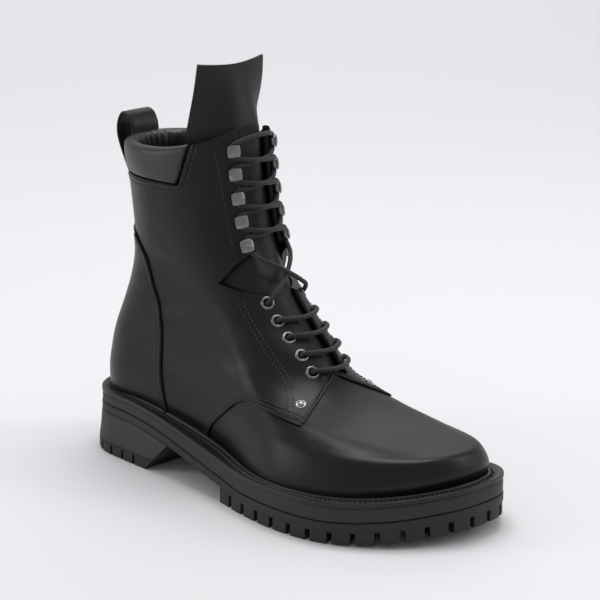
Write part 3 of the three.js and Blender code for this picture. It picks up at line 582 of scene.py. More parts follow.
def finish_material(name, dark, light, rough, grain, bump, scuff, specular=0.5, distance=0.0003, uneven=0.0):
    """A surface whose colour, roughness and relief come from the grain and the scuffs."""
    material, shader = node_material(name)
    tree = material.node_tree
    at = tree.nodes.new("ShaderNodeTexCoord").outputs["Object"]
    hide = wired(tree, "ShaderNodeGroup", {}, node_tree=GRAIN)
    tree.links.new(at, hide.inputs["Vector"])
    hide.inputs["Scale"].default_value, hide.inputs["Unevenness"].default_value = grain, uneven
    worn = wired(tree, "ShaderNodeGroup", {}, node_tree=SCUFFS)
    tree.links.new(at, worn.inputs["Vector"])
    worn.inputs["Amount"].default_value = scuff
    tone = mixed(tree, hide.outputs["Mottle"], dark, light)
    rubbed = mixed(tree, worn.outputs["Mask"], tone, [min(1, c * 2.2 + 0.01) for c in light])
    tree.links.new(rubbed, shader.inputs["Base Color"])
    from_mottle = {"Value": hide.outputs["Mottle"], "From Min": 0.3, "From Max": 0.7}
    spread = wired(tree, "ShaderNodeMapRange", {**from_mottle, "To Min": rough[0], "To Max": rough[1]})
    scuffed = {0: worn.outputs["Mask"], 1: 0.25, 2: spread.outputs["Result"]}
    rougher = wired(tree, "ShaderNodeMath", scuffed, operation="MULTIPLY_ADD")
    tree.links.new(rougher.outputs[0], shader.inputs["Roughness"])
    grained = {"Height": hide.outputs["Height"], "Strength": bump, "Distance": distance}
    relieved = wired(tree, "ShaderNodeBump", grained)
    tree.links.new(relieved.outputs["Normal"], shader.inputs["Normal"])
    shader.inputs["Specular IOR Level"].default_value = specular
    return material


hide_black = ((0.003, 0.003, 0.0032), (0.005, 0.005, 0.0052))
leather = finish_material("black_leather", *hide_black, (0.33, 0.42), 1500.0, 0.1, 0.1, specular=0.27, uneven=14.0)
lining_black = ((0.006, 0.006, 0.006), (0.011, 0.0108, 0.0105))
lining_leather = finish_material("lining_leather", *lining_black, (0.6, 0.72), 1100.0, 0.2, 0.1)


def made_of(piece, material, body="boot"):
    piece.data.materials.clear()
    piece.data.materials.append(material)
    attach(piece, body)


made_of(upper, leather)

# The lining: thin leather glued inside the wall, seen at the collar, in the throat and through the notches.
lining = lasted("lining", 130, 90, (0, 1), (0.3, TOP_LEVEL), -2.05, 0.4)
upper_cutters(lining)
smoothed(lining)
made_of(lining, lining_leather)

# The pad's place is cut out of the wall all round the back of the collar, and the zip's slot down the inner side.
PAD = {"low": 191, "front_low": 92, "front_top": 100, "zip_end": 57, "lean_to": 216, "over": 240, "behind": -10}


def pad_cutters(piece, gap):
    low, over, behind = PAD["low"] - gap, PAD["over"], PAD["behind"]
    front_low, front_top, zip_end = (PAD[key] + gap for key in ("front_low", "front_top", "zip_end"))
    outer_front = [[front_low, low], [front_top, PAD["lean_to"]], [front_top, over]]
    carved(piece, side_cutter([[behind, low], *outer_front, [behind, over]], UPPER_Y[0], 0))
    carved(piece, side_cutter([[behind, low], [zip_end, low], [zip_end, over], [behind, over]], -0.01, UPPER_Y[1]))


for layer in (upper, lining):
    pad_cutters(layer, 0.5)
    carved(layer, zip_cutter(ZIP["slot"]))

# ---- The quarters: one panel of leather on each side, lasted over the vamp, with an edge that rises from the welt,
# turns sharply forward to a tab, and runs from the tab up to the bottom of the throat. The edges are folded.
SEAM_TURN = [160.6, 66]
SEAM_LOW = [[122.2, 32.1], [128, 41.9], [134, 47.6], [140.2, 52.9]]
SEAM_RISE = [*SEAM_LOW, [145.5, 57.3], [150.6, 61.2], [155.5, 64], SEAM_TURN]
SEAM_RUN = [SEAM_TURN, [176.4, 65.6], [193.6, 64], [211.7, 61.9]]
TAB_EDGE = [[211.7, 61.9], [206, 69.2], [201.5, 74.8], [197.6, 79.4], [194.4, 83.1]]
QUARTER_LOW, QUARTER_HIGH = [[-20, 10], [112, 10], [118, 24]], [[228, 110], [200, 262], [-20, 262]]
QUARTER = [*QUARTER_LOW, *SEAM_RISE, *SEAM_RUN[1:], *TAB_EDGE[1:], *QUARTER_HIGH]
LAYER = 1.1
QUARTER_REACH = {"outer": (-90, THROAT_MIDDLE), "inner": (THROAT_MIDDLE, 90)}
# Each layer stops this far short of the one under it, so that no two faces lie in the same place.
CLEAR = 0.05
quarters = {}
for name, turns in (("outer", (0, 0.57)), ("inner", (0.43, 1))):
    quarter = lasted(f"quarter_{name}", 190, 170, turns, (0.2, TOP_LEVEL), LAYER, LAYER - CLEAR)
    carved(quarter, side_cutter(QUARTER, *QUARTER_REACH[name]), "INTERSECT")
    upper_cutters(quarter)
    pad_cutters(quarter, 0.7)
    if name == "inner":
        carved(quarter, zip_cutter(ZIP["slot"] + 0.4))
    quarters[name] = quarter

# ---- The upper facings: a second strip of leather, stitched on each quarter from the notch to the collar. It backs
# the speed hooks and stiffens the throat's edge.
FACING_EDGE = [[110, 232], [112.8, 213.9], [117.1, 191.5], [122.4, 166.9], [126, 154.5], [130.6, 139.5]]
FACING = [[105, 262], *FACING_EDGE, [131, 128], [210, 128], [210, 262]]
FACING_LAYER = 2.0
facings = {}
for name, turns in (("outer", (0.25, 0.57)), ("inner", (0.43, 0.75))):
    thick = FACING_LAYER - LAYER - CLEAR
    facing = lasted(f"facing_{name}", 80, 110, turns, (10.5, TOP_LEVEL), FACING_LAYER, thick)
    carved(facing, side_cutter(FACING, *QUARTER_REACH[name]), "INTERSECT")
    upper_cutters(facing)
    facings[name] = facing

# ---- The heel counter: a stiff panel of leather moulded round the heel, over both quarters. A cord under its front
# edge gives it a raised rim.
COUNTER_FRONT = [[83.5, 38], [81.9, 45.5], [78.8, 62], [77.6, 70], [76, 88.4], [72.8, 104.6]]
COUNTER_EDGE = [*COUNTER_FRONT, [67.1, 117.2], [57.9, 136.9], [52, 144], [44, 150.5], [34, 154]]
COUNTER = [[-20, 10], [88, 10], *COUNTER_EDGE, [20, 155], [-20, 155]]
COUNTER_LAYER = 2.0
counter = lasted("heel_counter", 180, 120, (-0.3, 0.3), (0.3, 16), COUNTER_LAYER, 1.3)
carved(counter, side_cutter(COUNTER, -70, 70), "INTERSECT")

for panel in (*quarters.values(), *facings.values(), counter):
    smoothed(panel)
    made_of(panel, leather)
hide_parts("counter")

# Eyelet holes go through the wall, the lining and the quarters.
HOLE_RADIUS = 3.3
hole_cutters = []
for side_name in FASTENER_Y:
    for point, across, up, normal in eyelet_frames[side_name]:
        hole = start("cylinder", "eyelet_hole", vertices=28, radius=1, depth=2)
        local = corners(hole) * np.array([HOLE_RADIUS, HOLE_RADIUS, 7])
        put(hole, in_frame(point + local @ np.array([across, up, normal])))
        shaped(hole, outwards)
        hole_cutters.append(hole)
holes = joined(hole_cutters)
for layer in (upper, lining, *quarters.values()):
    carved(layer, holes, keep=True)
    smoothed(layer)
bpy.data.objects.remove(holes)


# ---- Raised edges: the panels are folded at their seams, and the cut edges at the throat and collar are bound, so
# each edge stands up a little. They are laid as narrow strips on the leather.
def spaced(points, step):
    """Points evenly along a polyline, about a step apart."""
    points = np.asarray(points, float)
    lengths = np.r_[0, np.cumsum(np.linalg.norm(np.diff(points, axis=0), axis=1))]
    count = max(2, int(lengths[-1] / step))
    at = np.linspace(0, lengths[-1], count + 1)
    return np.stack([np.interp(at, lengths, points[:, i]) for i in range(points.shape[1])], 1)


def rounded(points, rounds=2):
    """Corners of a polyline softened by cutting them off."""
    points = np.asarray(points, float)
    for _ in range(rounds):
        cut = np.empty((2 * len(points) - 2, points.shape[1]))
        cut[0::2], cut[1::2] = 0.75 * points[:-1] + 0.25 * points[1:], 0.25 * points[:-1] + 0.75 * points[1:]
        points = np.vstack([points[:1], cut, points[-1:]])
    return points


def side_path(edge, side, step=1.5):
    """Points and normals of the last along a line that is drawn from the side."""
    line = spaced(edge, step)
    return on_last(*on_side(line[:, 0], line[:, 1], side))


def front_path(edge, step=1.5):
    """The same along a line (y, z) on the front of the leg."""
    line = spaced(edge, step)
    return on_last(*on_front(line[:, 0], line[:, 1]))


def directions(points, closed=False):
    if closed:
        ahead = np.roll(points, -1, 0) - np.roll(points, 1, 0)
    else:
        ahead = np.gradient(points, axis=0)
    return ahead / np.linalg.norm(ahead, axis=1, keepdims=True)


def strip(name, path, section, base, shift=0.0):
    """A strip along a path on the leather. section lists its points (across, height); its ends are closed."""
    points, normals = path
    along = directions(points)
    across = np.cross(normals, along)
    section = np.asarray(section, float)
    piece, around, run = grid(name, len(section), len(points) - 1)
    i, j = counted(around, len(section)) % len(section), counted(run, len(points) - 1)
    put(piece, in_frame(points[j] + across[j] * (section[i, :1] + shift) + normals[j] * (section[i, 1:] + base)))
    merged(piece, filled=True)
    smoothed(piece, 50)
    return piece


def half_round(width, height, count=8):
    angles = np.linspace(0, np.pi, count + 1)
    top = [[-width / 2 * math.cos(a), height * math.sin(a) ** 0.8] for a in angles]
    return [*top, [width / 2, -0.5], [-width / 2, -0.5]]


# Each fold: its name, its line, its width and height, how far off the last it starts and how far beside the line.
FOLDS = [
    ("counter_cord", rounded(COUNTER_EDGE[:-1]), 3.4, 0.9, COUNTER_LAYER - 0.1, -1.5),
    ("seam_fold", rounded(SEAM_RISE), 1.8, 0.45, LAYER - 0.1, -1.0),
    ("tab_fold", SEAM_RUN, 1.6, 0.4, LAYER - 0.1, -0.9),
    ("front_fold", TAB_EDGE, 1.6, 0.4, LAYER - 0.1, -0.9),
]
SIDES = {"outer": -1, "inner": 1}
edges = []
for name, side in SIDES.items():
    for fold, line, width, height, base, shift in FOLDS:
        section = half_round(width, height)
        edges.append(strip(f"{fold}_{name}", side_path(line, side), section, base, shift=shift * side))
back_line = np.zeros(24)
back_line_levels = level_of(back_line, np.linspace(148, 188, len(back_line)))
edges.append(strip("back_seam", on_last(back_line_levels, back_line), half_round(3.2, 0.7), LAYER - 0.2))
LINING_UNDER = -2.5


def edge_cap(name, path, towards, low, high, proud=0.9):
    """A folded edge round the cut ends of the layers between two heights, standing proud on one side of the path."""
    angles = np.linspace(0, np.pi, 11)
    turned = [[towards * proud * math.sin(a) ** 0.7, mix(low, high, (1 - math.cos(a)) / 2)] for a in angles]
    return strip(name, path, [*turned, [-0.4 * towards, high], [-0.4 * towards, low]], 0)


for name, side in SIDES.items():
    high_y, low_y = (THROAT_MIDDLE + THROAT_HALF[part] * side for part in ("high", "low"))
    edge_turn = solved(lambda at: last_point(TOP_LEVEL, at)[..., 1] - high_y, *FRONT_TURNS, np.array([high_y]))
    edge_top = last_point(TOP_LEVEL, edge_turn)[0, 2] - 0.4
    high_edge = front_path([[high_y, 152], [high_y, edge_top]])
    edges.append(edge_cap(f"throat_edge_high_{name}", high_edge, side, LINING_UNDER, FACING_LAYER))
    low_edge = front_path([[low_y, 80.5], [low_y, 125]])
    edges.append(edge_cap(f"throat_edge_low_{name}", low_edge, side, LINING_UNDER, LAYER))
    pad_end = PAD["front_top"] + 1 if side < 0 else PAD["zip_end"] + 12
    last_turn = min(edge_turn[0], 1 - edge_turn[0])
    ring_turns = np.linspace(float(turn_at(TOP_LEVEL, pad_end)), last_turn, 60) * -side
    top_edge = on_last(TOP_LEVEL, ring_turns)
    edges.append(edge_cap(f"collar_edge_{name}", top_edge, -side, LINING_UNDER, LAYER + 0.1, 0.8))
for edge in edges:
    made_of(edge, leather)

# ---- The collar pad: a soft roll of thin leather over foam, sewn to the shaft along its lower edge and front end,
# rolled over the top and turned down inside. It puckers a little along its seams.
# Its section: how high up the shaft (0 to 1), how far off the last, and how far above the shaft's top.
PAD_OUTSIDE = [[0.02, 0.35, 0], [0.06, 1.25, 0], [0.2, 2.3, 0], [0.45, 2.8, 0], [0.75, 2.5, 0], [0.93, 1.7, 0.3]]
PAD_TOP = [[1, 0.2, 1.3], [1, -2.0, 2.0], [1, -4.3, 0.9]]
PAD_INSIDE = [[0.9, -5.9, 0], [0.7, -6.8, 0], [0.4, -6.9, 0], [0.12, -5.6, 0], [0.0, -3.4, 0], [0.0, -1.4, 0]]
PAD_AROUND, PAD_RUN, PAD_ENDS = 46, 205.0, 3.0


def curve(p0, p1, p2, p3, s):
    """A smooth curve from p1 to p2, with the points before and after them."""
    squared, cubed = 2 * p0 - 5 * p1 + 4 * p2 - p3, 3 * p1 - p0 - 3 * p2 + p3
    return 0.5 * (2 * p1 + (p2 - p0) * s + squared * s**2 + cubed * s**3)


def closed_curve(points, count):
    """A smooth closed curve through points, as count points."""
    points = np.asarray(points, float)
    n = len(points)
    at = np.linspace(0, n, count, endpoint=False)
    k = at.astype(int)
    s = (at - k)[:, None]
    return curve(points[(k - 1) % n], points[k], points[(k + 1) % n], points[(k + 2) % n], s)


pad_profile = closed_curve([*PAD_OUTSIDE, *PAD_TOP, *PAD_INSIDE], PAD_AROUND)
collar_pad, around, across = grid("collar_pad_roll", PAD_AROUND, 150)
around = counted(around, PAD_AROUND) % PAD_AROUND
height, offset, rise = (pad_profile[around, i] for i in range(3))
from_end = np.minimum(across, 1 - across) * PAD_RUN
closing = np.sqrt(1 - (1 - np.clip(from_end / PAD_ENDS, 0, 1)) ** 2)
height = mix(0.5, np.clip(height, 0, 1), closing)
pucker = 0.16 * np.sin(across * 190 + 2.0 * np.sin(across * 31)) * np.exp(-((height / 0.22) ** 2)) * (offset > -2)
folds = 0.55 * np.sin(across * 120 + 3.0 * np.sin(across * 17)) * eased((-offset - 3) / 3)
offset = mix(-2.4, offset + pucker + folds, closing)
guess = TOP_LEVEL * mix(0.93, 1, height)
front_x = mix(PAD["front_low"], PAD["front_top"], height)
turn = mix(-turn_at(guess, PAD["zip_end"]), turn_at(guess, front_x), across)
level = mix(level_of(turn, PAD["low"]), TOP_LEVEL, height)
points = last_point(level, turn) + last_normal(level, turn) * offset[:, None]
points[:, 2] += rise * closing
put(collar_pad, in_frame(points))
merged(collar_pad, 2e-5)
smoothed(collar_pad, 80)
soft_black = ((0.005, 0.005, 0.0052), (0.009, 0.009, 0.0093))
soft_leather = finish_material("soft_black_leather", *soft_black, (0.38, 0.48), 1300.0, 0.16, 0.15, specular=0.6)
made_of(collar_pad, soft_leather)
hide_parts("collar_pad")

# A corded seam frames the pad on the shaft.
PAD_SEAM = [[30, 188.6], [60, 188.5], [86.5, 188.5], [93.4, 189.2], [95.8, 194], [99.6, 206], [103.2, 219]]
back_turns = np.linspace(-0.135, 0.135, 40)
pad_seam_paths = {
    "outer": side_path(rounded(PAD_SEAM), -1),
    "inner": side_path([[30, 188.6], [45, 188.5], [60.5, 188.5]], 1),
    "back": on_last(level_of(back_turns, 188.6), back_turns),
}
for name, path in pad_seam_paths.items():
    made_of(strip(f"pad_seam_{name}", path, half_round(2.4, 0.8), LAYER - 0.2), leather)

# ---- The pull loop: a strap of the same leather with its edges turned, sewn under the pad behind the heel, bent
# over and sewn again inside the collar.
LOOP_OUTSIDE = [[22.4, 187], [17.2, 197], [12.6, 208], [12.4, 217], [16.4, 224]]
LOOP_PATH = [*LOOP_OUTSIDE, [22.4, 223.2], [26, 218], [27, 213.4], [27.4, 208.5]]
LOOP = {"thick": 1.9, "half": 11.5}


def open_curve(points, step):
    """A smooth curve through points, about a step between its points."""
    points = np.asarray(points, float)
    longer = np.vstack([2 * points[0] - points[1], points, 2 * points[-1] - points[-2]])
    s = np.linspace(0, 1, 13)[:-1, None]
    made = [curve(*four, s) for four in zip(longer[:-3], longer[1:-2], longer[2:-1], longer[3:])]
    return spaced(np.vstack([*made, points[-1:]]), step)


loop_line = open_curve([[x, 0, z] for x, z in LOOP_PATH], 1.0)
edge, half = LOOP["thick"] / 2, LOOP["half"]
turned_edge = [[half - edge * (1 - math.cos(a)), edge * math.sin(a)] for a in np.linspace(-1.4, 1.4, 7)]
face = np.linspace(half - 1.6, -half + 1.6, 14)
flat_face = [[y, edge * (1 - 0.18 * (abs(abs(y) - half + 2.4) < 0.8))] for y in face]
half_section = [*turned_edge, *flat_face]
loop_section = [*half_section, *[[-y, -z] for y, z in half_section]]
pull_loop = strip("pull_loop_strap", (loop_line, np.cross(directions(loop_line), [0, 1.0, 0])), loop_section, 0)
made_of(pull_loop, leather)
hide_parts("pull_loop")

# ---- The tongue: a long soft panel behind the laces that stands up above the collar. Folds run down it where the
# lacing presses it.
# Half its width, in turns, at some of the last's levels.
TONGUE_WIDTH = [[9, 0.085], [10.5, 0.12], [12, 0.19], [13.5, 0.215], [15, 0.195], [18, 0.2]]
TONGUE = {"offset": -2.8, "thick": 1.8, "slack": 5.2, "rows": 11, "standing": 4}
TONGUE_TOP = {"x": 104, "bulge": 5, "half": 29, "z": 268}
tongue, c, row = grid("tongue_panel", 90, 170)
row = row * (TONGUE["rows"] + TONGUE["standing"])
level = np.minimum(TOP_LEVEL, mix(9, TOP_LEVEL, row / TONGUE["rows"]))
side = 2 * c - 1
half = through([w[0] for w in TONGUE_WIDTH], [w[1] for w in TONGUE_WIDTH], level)
loose = np.where(side < 0, TONGUE["slack"], TONGUE["slack"] * 0.35)
slack = loose * eased(np.abs(side) / 0.8) * eased((level - 14) / 3)
turn = 0.5 + side * half
folds = 0.75 * np.sin(side * 13 + 0.8 * np.sin(level * 1.3))
folds = folds * eased(1 - np.abs(side) / 0.8) * eased((level - 9.5) / 1.5)
stand = np.clip((row - TONGUE["rows"]) / TONGUE["standing"], 0, 1)
away = TONGUE["offset"] - slack + np.minimum(0, folds - 0.5) * (1 - stand) ** 2
points = last_point(level, turn) + last_normal(level, turn) * away[:, None]
flattened = mix(stand, 1 - (1 - stand) ** 2, c)
top_x = TONGUE_TOP["x"] + TONGUE_TOP["bulge"] * (1 - side**2) + TONGUE["thick"]
ripple = 0.7 * np.sin(side * 6 + 1) * stand * (1 - stand) * 2
x = mix(points[:, 0], top_x, flattened) + ripple
y = mix(points[:, 1], TONGUE_TOP["half"] * side, stand)
z = mix(points[:, 2], TONGUE_TOP["z"] - 1.5 * (1 - side**2), stand)
put(tongue, in_frame(np.stack([x, y, z], 1)))
finished(tongue, "SOLIDIFY", thickness=TONGUE["thick"] * MM, offset=-1)
smoothed(tongue, 50)
satin_black = ((0.005, 0.005, 0.0052), (0.008, 0.008, 0.0082))
satin = finish_material("satin_leather", *satin_black, (0.46, 0.54), 1700.0, 0.12, 0.1, specular=0.3)
made_of(tongue, satin)
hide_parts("tongue")

# ---- The zip: two woven tapes sewn behind the slot, nickel teeth clamped to them in turn, and a cast slider with its
# pull at the top, so that the chain is closed below it.
TAPE_HALF, TAPE_LENGTH = 8, 132
zip_tape, across, up = grid("zip_tapes", 24, 90)
z = mix(ZIP["low"] - 8, ZIP["high"] - 1, up)
put(zip_tape, in_frame(zip_point(z, mix(-TAPE_HALF, TAPE_HALF, across), -2.6)))
finished(zip_tape, "SOLIDIFY", thickness=0.8 * MM, offset=-1)
smoothed(zip_tape)


def woven(name, dark, light, thread):
    """Plain weave: two crossing waves on the piece's own coordinates. Its colour darkens where the threads lie low,
    as painted shade in the gaps between them.
    """
    material, shader = node_material(name)
    tree = material.node_tree
    at = tree.nodes.new("ShaderNodeTexCoord").outputs["UV"]
    over = wired(tree, "ShaderNodeTexWave", {"Vector": at, "Scale": thread}, wave_type="BANDS", bands_direction="X")
    under = wired(tree, "ShaderNodeTexWave", {"Vector": at, "Scale": thread}, wave_type="BANDS", bands_direction="Y")
    weave = wired(tree, "ShaderNodeMath", {0: over.outputs["Fac"], 1: under.outputs["Fac"]}, operation="MAXIMUM")
    # The colour follows the weave's height: darker in its low places, painted shade between the threads.
    tree.links.new(mixed(tree, weave.outputs[0], dark, light), shader.inputs["Base Color"])
    lifted = wired(tree, "ShaderNodeBump", {"Height": weave.outputs[0], "Strength": 0.6, "Distance": 0.0002})
    tree.links.new(lifted.outputs["Normal"], shader.inputs["Normal"])
    shader.inputs["Roughness"].default_value = 0.8
    shader.inputs["Sheen Weight"].default_value = 0.25
    return material


def uv_sized(piece, across, along):
    """The piece's own map, stretched to its size."""
    layer = piece.data.uv_layers.active
    flat = np.empty(len(layer.data) * 2)
    layer.data.foreach_get("uv", flat)
    layer.data.foreach_set("uv", (flat.reshape(-1, 2) * np.array([across, along])).ravel())


uv_sized(zip_tape, 2 * TAPE_HALF, TAPE_LENGTH)
black_tape = woven("black_tape", (0.006, 0.006, 0.006), (0.016, 0.016, 0.017), 0.45)
made_of(zip_tape, black_tape)
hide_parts("zip_tape")


def metal(name, colour, rough, worn_colour, scuff):
    """Plated metal, a little scratched, with the scratches and rubbed spots lighter than the plating."""
    material, shader = node_material(name)
    tree = material.node_tree
    at = tree.nodes.new("ShaderNodeTexCoord").outputs["Object"]
    worn = wired(tree, "ShaderNodeGroup", {}, node_tree=SCUFFS)
    tree.links.new(at, worn.inputs["Vector"])
    worn.inputs["Scale"].default_value, worn.inputs["Amount"].default_value = 520.0, scuff
    tree.links.new(mixed(tree, worn.outputs["Mask"], colour, worn_colour), shader.inputs["Base Color"])
    cloudy = wired(tree, "ShaderNodeTexNoise", {"Vector": at, "Scale": 380.0, "Detail": 3.0})
    clouded = {"Value": cloudy.outputs["Fac"], "To Min": rough[0], "To Max": rough[1]}
    spread = wired(tree, "ShaderNodeMapRange", clouded)
    tree.links.new(spread.outputs["Result"], shader.inputs["Roughness"])
    dented = wired(tree, "ShaderNodeBump", {"Height": cloudy.outputs["Fac"], "Strength": 0.06, "Distance": 0.0002})
    tree.links.new(dented.outputs["Normal"], shader.inputs["Normal"])
    shader.inputs["Metallic"].default_value = 1.0
    return material


nickel = metal("bright_nickel", (0.62, 0.62, 0.62), (0.16, 0.34), (0.8, 0.8, 0.79), 0.4)
gunmetal = metal("worn_gunmetal", (0.2, 0.2, 0.2), (0.26, 0.46), (0.62, 0.62, 0.6), 1.0)
dark_nickel = metal("dark_nickel", (0.2, 0.2, 0.198), (0.18, 0.34), (0.6, 0.6, 0.59), 0.6)
dull_nickel = metal("dull_nickel", (0.34, 0.34, 0.335), (0.3, 0.45), (0.5, 0.5, 0.49), 0.4)


def copied(piece, name, places):
    """One piece holding a copy of another at each place: a point, and its three directions."""
    local = corners(piece)
    faces = [list(face.vertices) for face in piece.data.polygons]
    count = len(local)
    points = np.vstack([np.array(point) + local @ np.array(axes) for point, axes in places])
    all_faces = [[v + k * count for v in face] for k in range(len(places)) for face in faces]
    mesh = bpy.data.meshes.new(name)
    mesh.from_pydata(in_frame(points).tolist(), [], all_faces)
    made = bpy.data.objects.new(name, mesh)
    bpy.context.scene.collection.objects.link(made)
    bpy.data.objects.remove(piece)
    smoothed(made, 40)
    return made


def zip_frame(z, across, offset=0.0):
    point = zip_point(np.array([z]), np.array([across]), offset)[0]
    higher = zip_point(np.array([z + 1]), np.array([across]), offset)[0]
    beside = zip_point(np.array([z]), np.array([across + 1]), offset)[0]
    up = (higher - point) / np.linalg.norm(higher - point)
    normal = np.cross(beside - point, up)
    normal /= np.linalg.norm(normal)
    return point, [np.cross(up, normal), up, normal]


TOOTH = {"size": [3.1, 1.15, 2.5], "pitch": 1.42, "beside": 1.15, "offset": -0.95}
tooth = start("cube", "zip_tooth", size=1)
put(tooth, corners(tooth) * np.array(TOOTH["size"]))
shaped(tooth, lambda: bpy.ops.mesh.bevel(offset=0.3, segments=2, affect="EDGES"))
tooth_places = []
z = ZIP["low"] + 0.6
while z < ZIP["high"] - 2.5:
    beside = TOOTH["beside"] if len(tooth_places) % 2 else -TOOTH["beside"]
    tooth_places.append(zip_frame(z, beside, TOOTH["offset"]))
    z += TOOTH["pitch"]
teeth = copied(tooth, "zip_teeth_row", tooth_places)
made_of(teeth, nickel)
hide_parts("zip_teeth")

# The slider and its pull keep the model's shape with their edges rounded over.
for name, body, width in (("zip_slider", "boot", 0.35), ("zip_pull", "zip_pull", 0.3)):
    detail = bpy.data.objects.new(f"{name}_cast", bpy.data.objects[name].data.copy())
    bpy.context.scene.collection.objects.link(detail)
    shaped(
        detail,
        lambda: bpy.ops.mesh.remove_doubles(threshold=1e-6),
        lambda: bpy.ops.mesh.dissolve_limited(angle_limit=math.radians(3)),
    )
    finished(detail, "BEVEL", width=width * MM, segments=3, limit_method="ANGLE", angle_limit=math.radians(40))
    smoothed(detail, 50)
    made_of(detail, nickel, body)
    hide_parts(name)


# ---- Eyelets, hooks and rivets: rolled rims pressed through the facings, pressed speed hooks riveted on, and a
# domed rivet at each tab.
def turned_part(name, profile, count):
    """A part turned round the axis that points out of the leather, from its profile (radius, height)."""
    profile = np.asarray(profile, float)
    piece, around, run = grid(name, count, len(profile) - 1)
    angle, at = 2 * np.pi * around, profile[counted(run, len(profile) - 1)]
    put(piece, np.stack([at[:, 0] * np.cos(angle), at[:, 0] * np.sin(angle), at[:, 1]], 1))
    merged(piece, 1e-4)
    return piece


def rim_profile():
    rim = [[3.45 + 0.98 * math.cos(a), 1.05 + 0.68 * math.sin(a)] for a in np.linspace(-0.6, math.pi + 0.3, 12)]
    return [*rim, [2.55, 0.2], [2.6, -1.7], [3.15, -1.7], [3.15, 0.5], rim[0]]


HOOK = {"long": 4.25, "wide": 3.95, "round": 4.35, "thick": 1.15, "height": 5.1, "dome": 0.55}
HOOK_NECK = [[-2.6, 0, 0.75], [1.2, 0, 0.72], [3.2, 0, 1.2], [3.75, 0, 2.6], [3.4, 0, 3.9], [2.2, 0, 4.6]]
RIVET_HEAD = [[0, 1.9], [1.0, 1.82], [1.75, 1.5], [2.15, 1.0]]
RIVET_RING = [[2.2, 0.1], [2.75, 0.1], [2.85, 0.5], [3.1, 0.5], [3.25, 0.1], [3.2, -0.4], [0, -0.4]]


def hook_shape():
    """The plate over the lace, domed and rounded; the neck on its throat side; the washer under it."""
    plate = start("cube", "hook", size=1)
    put(plate, corners(plate) * np.array([2 * HOOK["long"], 2 * HOOK["wide"], HOOK["thick"]]))
    shaped(plate, lambda: bpy.ops.mesh.subdivide(number_cuts=9))
    local = corners(plate)
    square = np.maximum(np.abs(local[:, 0]) / HOOK["long"], np.abs(local[:, 1]) / HOOK["wide"])
    length = np.maximum(1e-9, np.linalg.norm(local[:, :2], axis=1))
    soft = mix(1, square * HOOK["round"] / length, 0.42 * square**2)
    local[:, :2] *= np.minimum(1.0, soft)[:, None]
    domed = np.abs(local[:, 0] / HOOK["long"]) ** 2.4 + np.abs(local[:, 1] / HOOK["wide"]) ** 2.4
    local[:, 2] = local[:, 2] * mix(1, 0.55, square**6) - HOOK["dome"] * domed + HOOK["height"]
    put(plate, local)
    bent = open_curve(HOOK_NECK, 0.5)
    angles = np.linspace(0, 2 * np.pi, 16, endpoint=False)
    section = [[2.5 * math.cos(a) * 1.08, 0.42 * math.sin(a)] for a in angles]
    neck = strip("hook_neck", (bent, np.cross(directions(bent), [0, -1.0, 0])), section, 0)
    put(neck, (corners(neck) - np.array(HEEL_BACK)) / MM)
    washer = turned_part("hook_washer", [[0, 0.85], [3.6, 0.85], [4.1, 0.6], [4.2, 0.3], [0, 0.3]], 28)
    return joined([plate, neck, washer])


for side_name, side in SIDES.items():
    for i, (point, *axes) in enumerate(eyelet_frames[side_name]):
        shape = turned_part("eyelet", rim_profile(), 40)
        rim = copied(shape, f"eyelet_ring_{side_name}_{i + 1}", [(point, axes)])
        made_of(rim, dark_nickel)
        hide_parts(f"eyelet_{side_name}_{i + 1}")
    for i, (point, *axes) in enumerate(hook_frames[side_name]):
        shape = hook_shape()
        put(shape, corners(shape) * np.array([-side, 1, 1]))
        hook = copied(shape, f"speed_hook_{side_name}_{i + 1}", [(point + axes[2] * 0.9, axes)])
        shaped(hook, outwards)
        smoothed(hook, 40)
        made_of(hook, gunmetal)
        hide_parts(f"hook_{side_name}_{i + 1}")
    point, *axes = rivet_frames[side_name]
    shape = turned_part("rivet", [*RIVET_HEAD, *RIVET_RING], 32)
    rivet = copied(shape, f"rivet_dome_{side_name}", [(point + axes[2] * LAYER, axes)])
    made_of(rivet, dull_nickel)
    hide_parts(f"rivet_{side_name}")

# ---- The laces: one round braided cord. It passes straight across under tension between the lower eyelets, and
# crosses from hook to hook above them; its ends are tucked away inside.
LACE = {"radius": 1.5, "over": 3.6, "hook": 2.85, "beside": 5.4}


def cord(name, lines, radius, sides=14):
    """Round cord along lines of points, tapered shut at its hidden ends. Its map runs along it in cord widths."""
    pieces = []
    for line in lines:
        points = open_curve(line, 0.9)
        along = directions(points)
        side = np.cross(along[0], [0.3, 0.2, 1.0])
        beside = []
        for ahead in along:
            side = side - ahead * (side @ ahead)
            side = side / np.linalg.norm(side)
            beside.append(side)
        beside = np.array(beside)
        above = np.cross(along, beside)
        piece, around, run = grid(name, sides, len(points) - 1)
        j, angle = counted(run, len(points) - 1), 2 * np.pi * around[:, None]
        end = np.minimum(j, len(points) - 1 - j)
        wide = radius * np.sqrt(1 - (1 - np.clip(end / 1.6, 0, 1)) ** 2)
        put(piece, in_frame(points[j] + (beside[j] * np.cos(angle) + above[j] * np.sin(angle)) * wide[:, None]))
        length = np.linalg.norm(np.diff(points, axis=0), axis=1).sum()
        uv_sized(piece, 1, length / (2 * np.pi * radius))
        merged(piece, 2e-6)
        pieces.append(piece)
    made = joined(pieces)
    smoothed(made, 80)
    return made


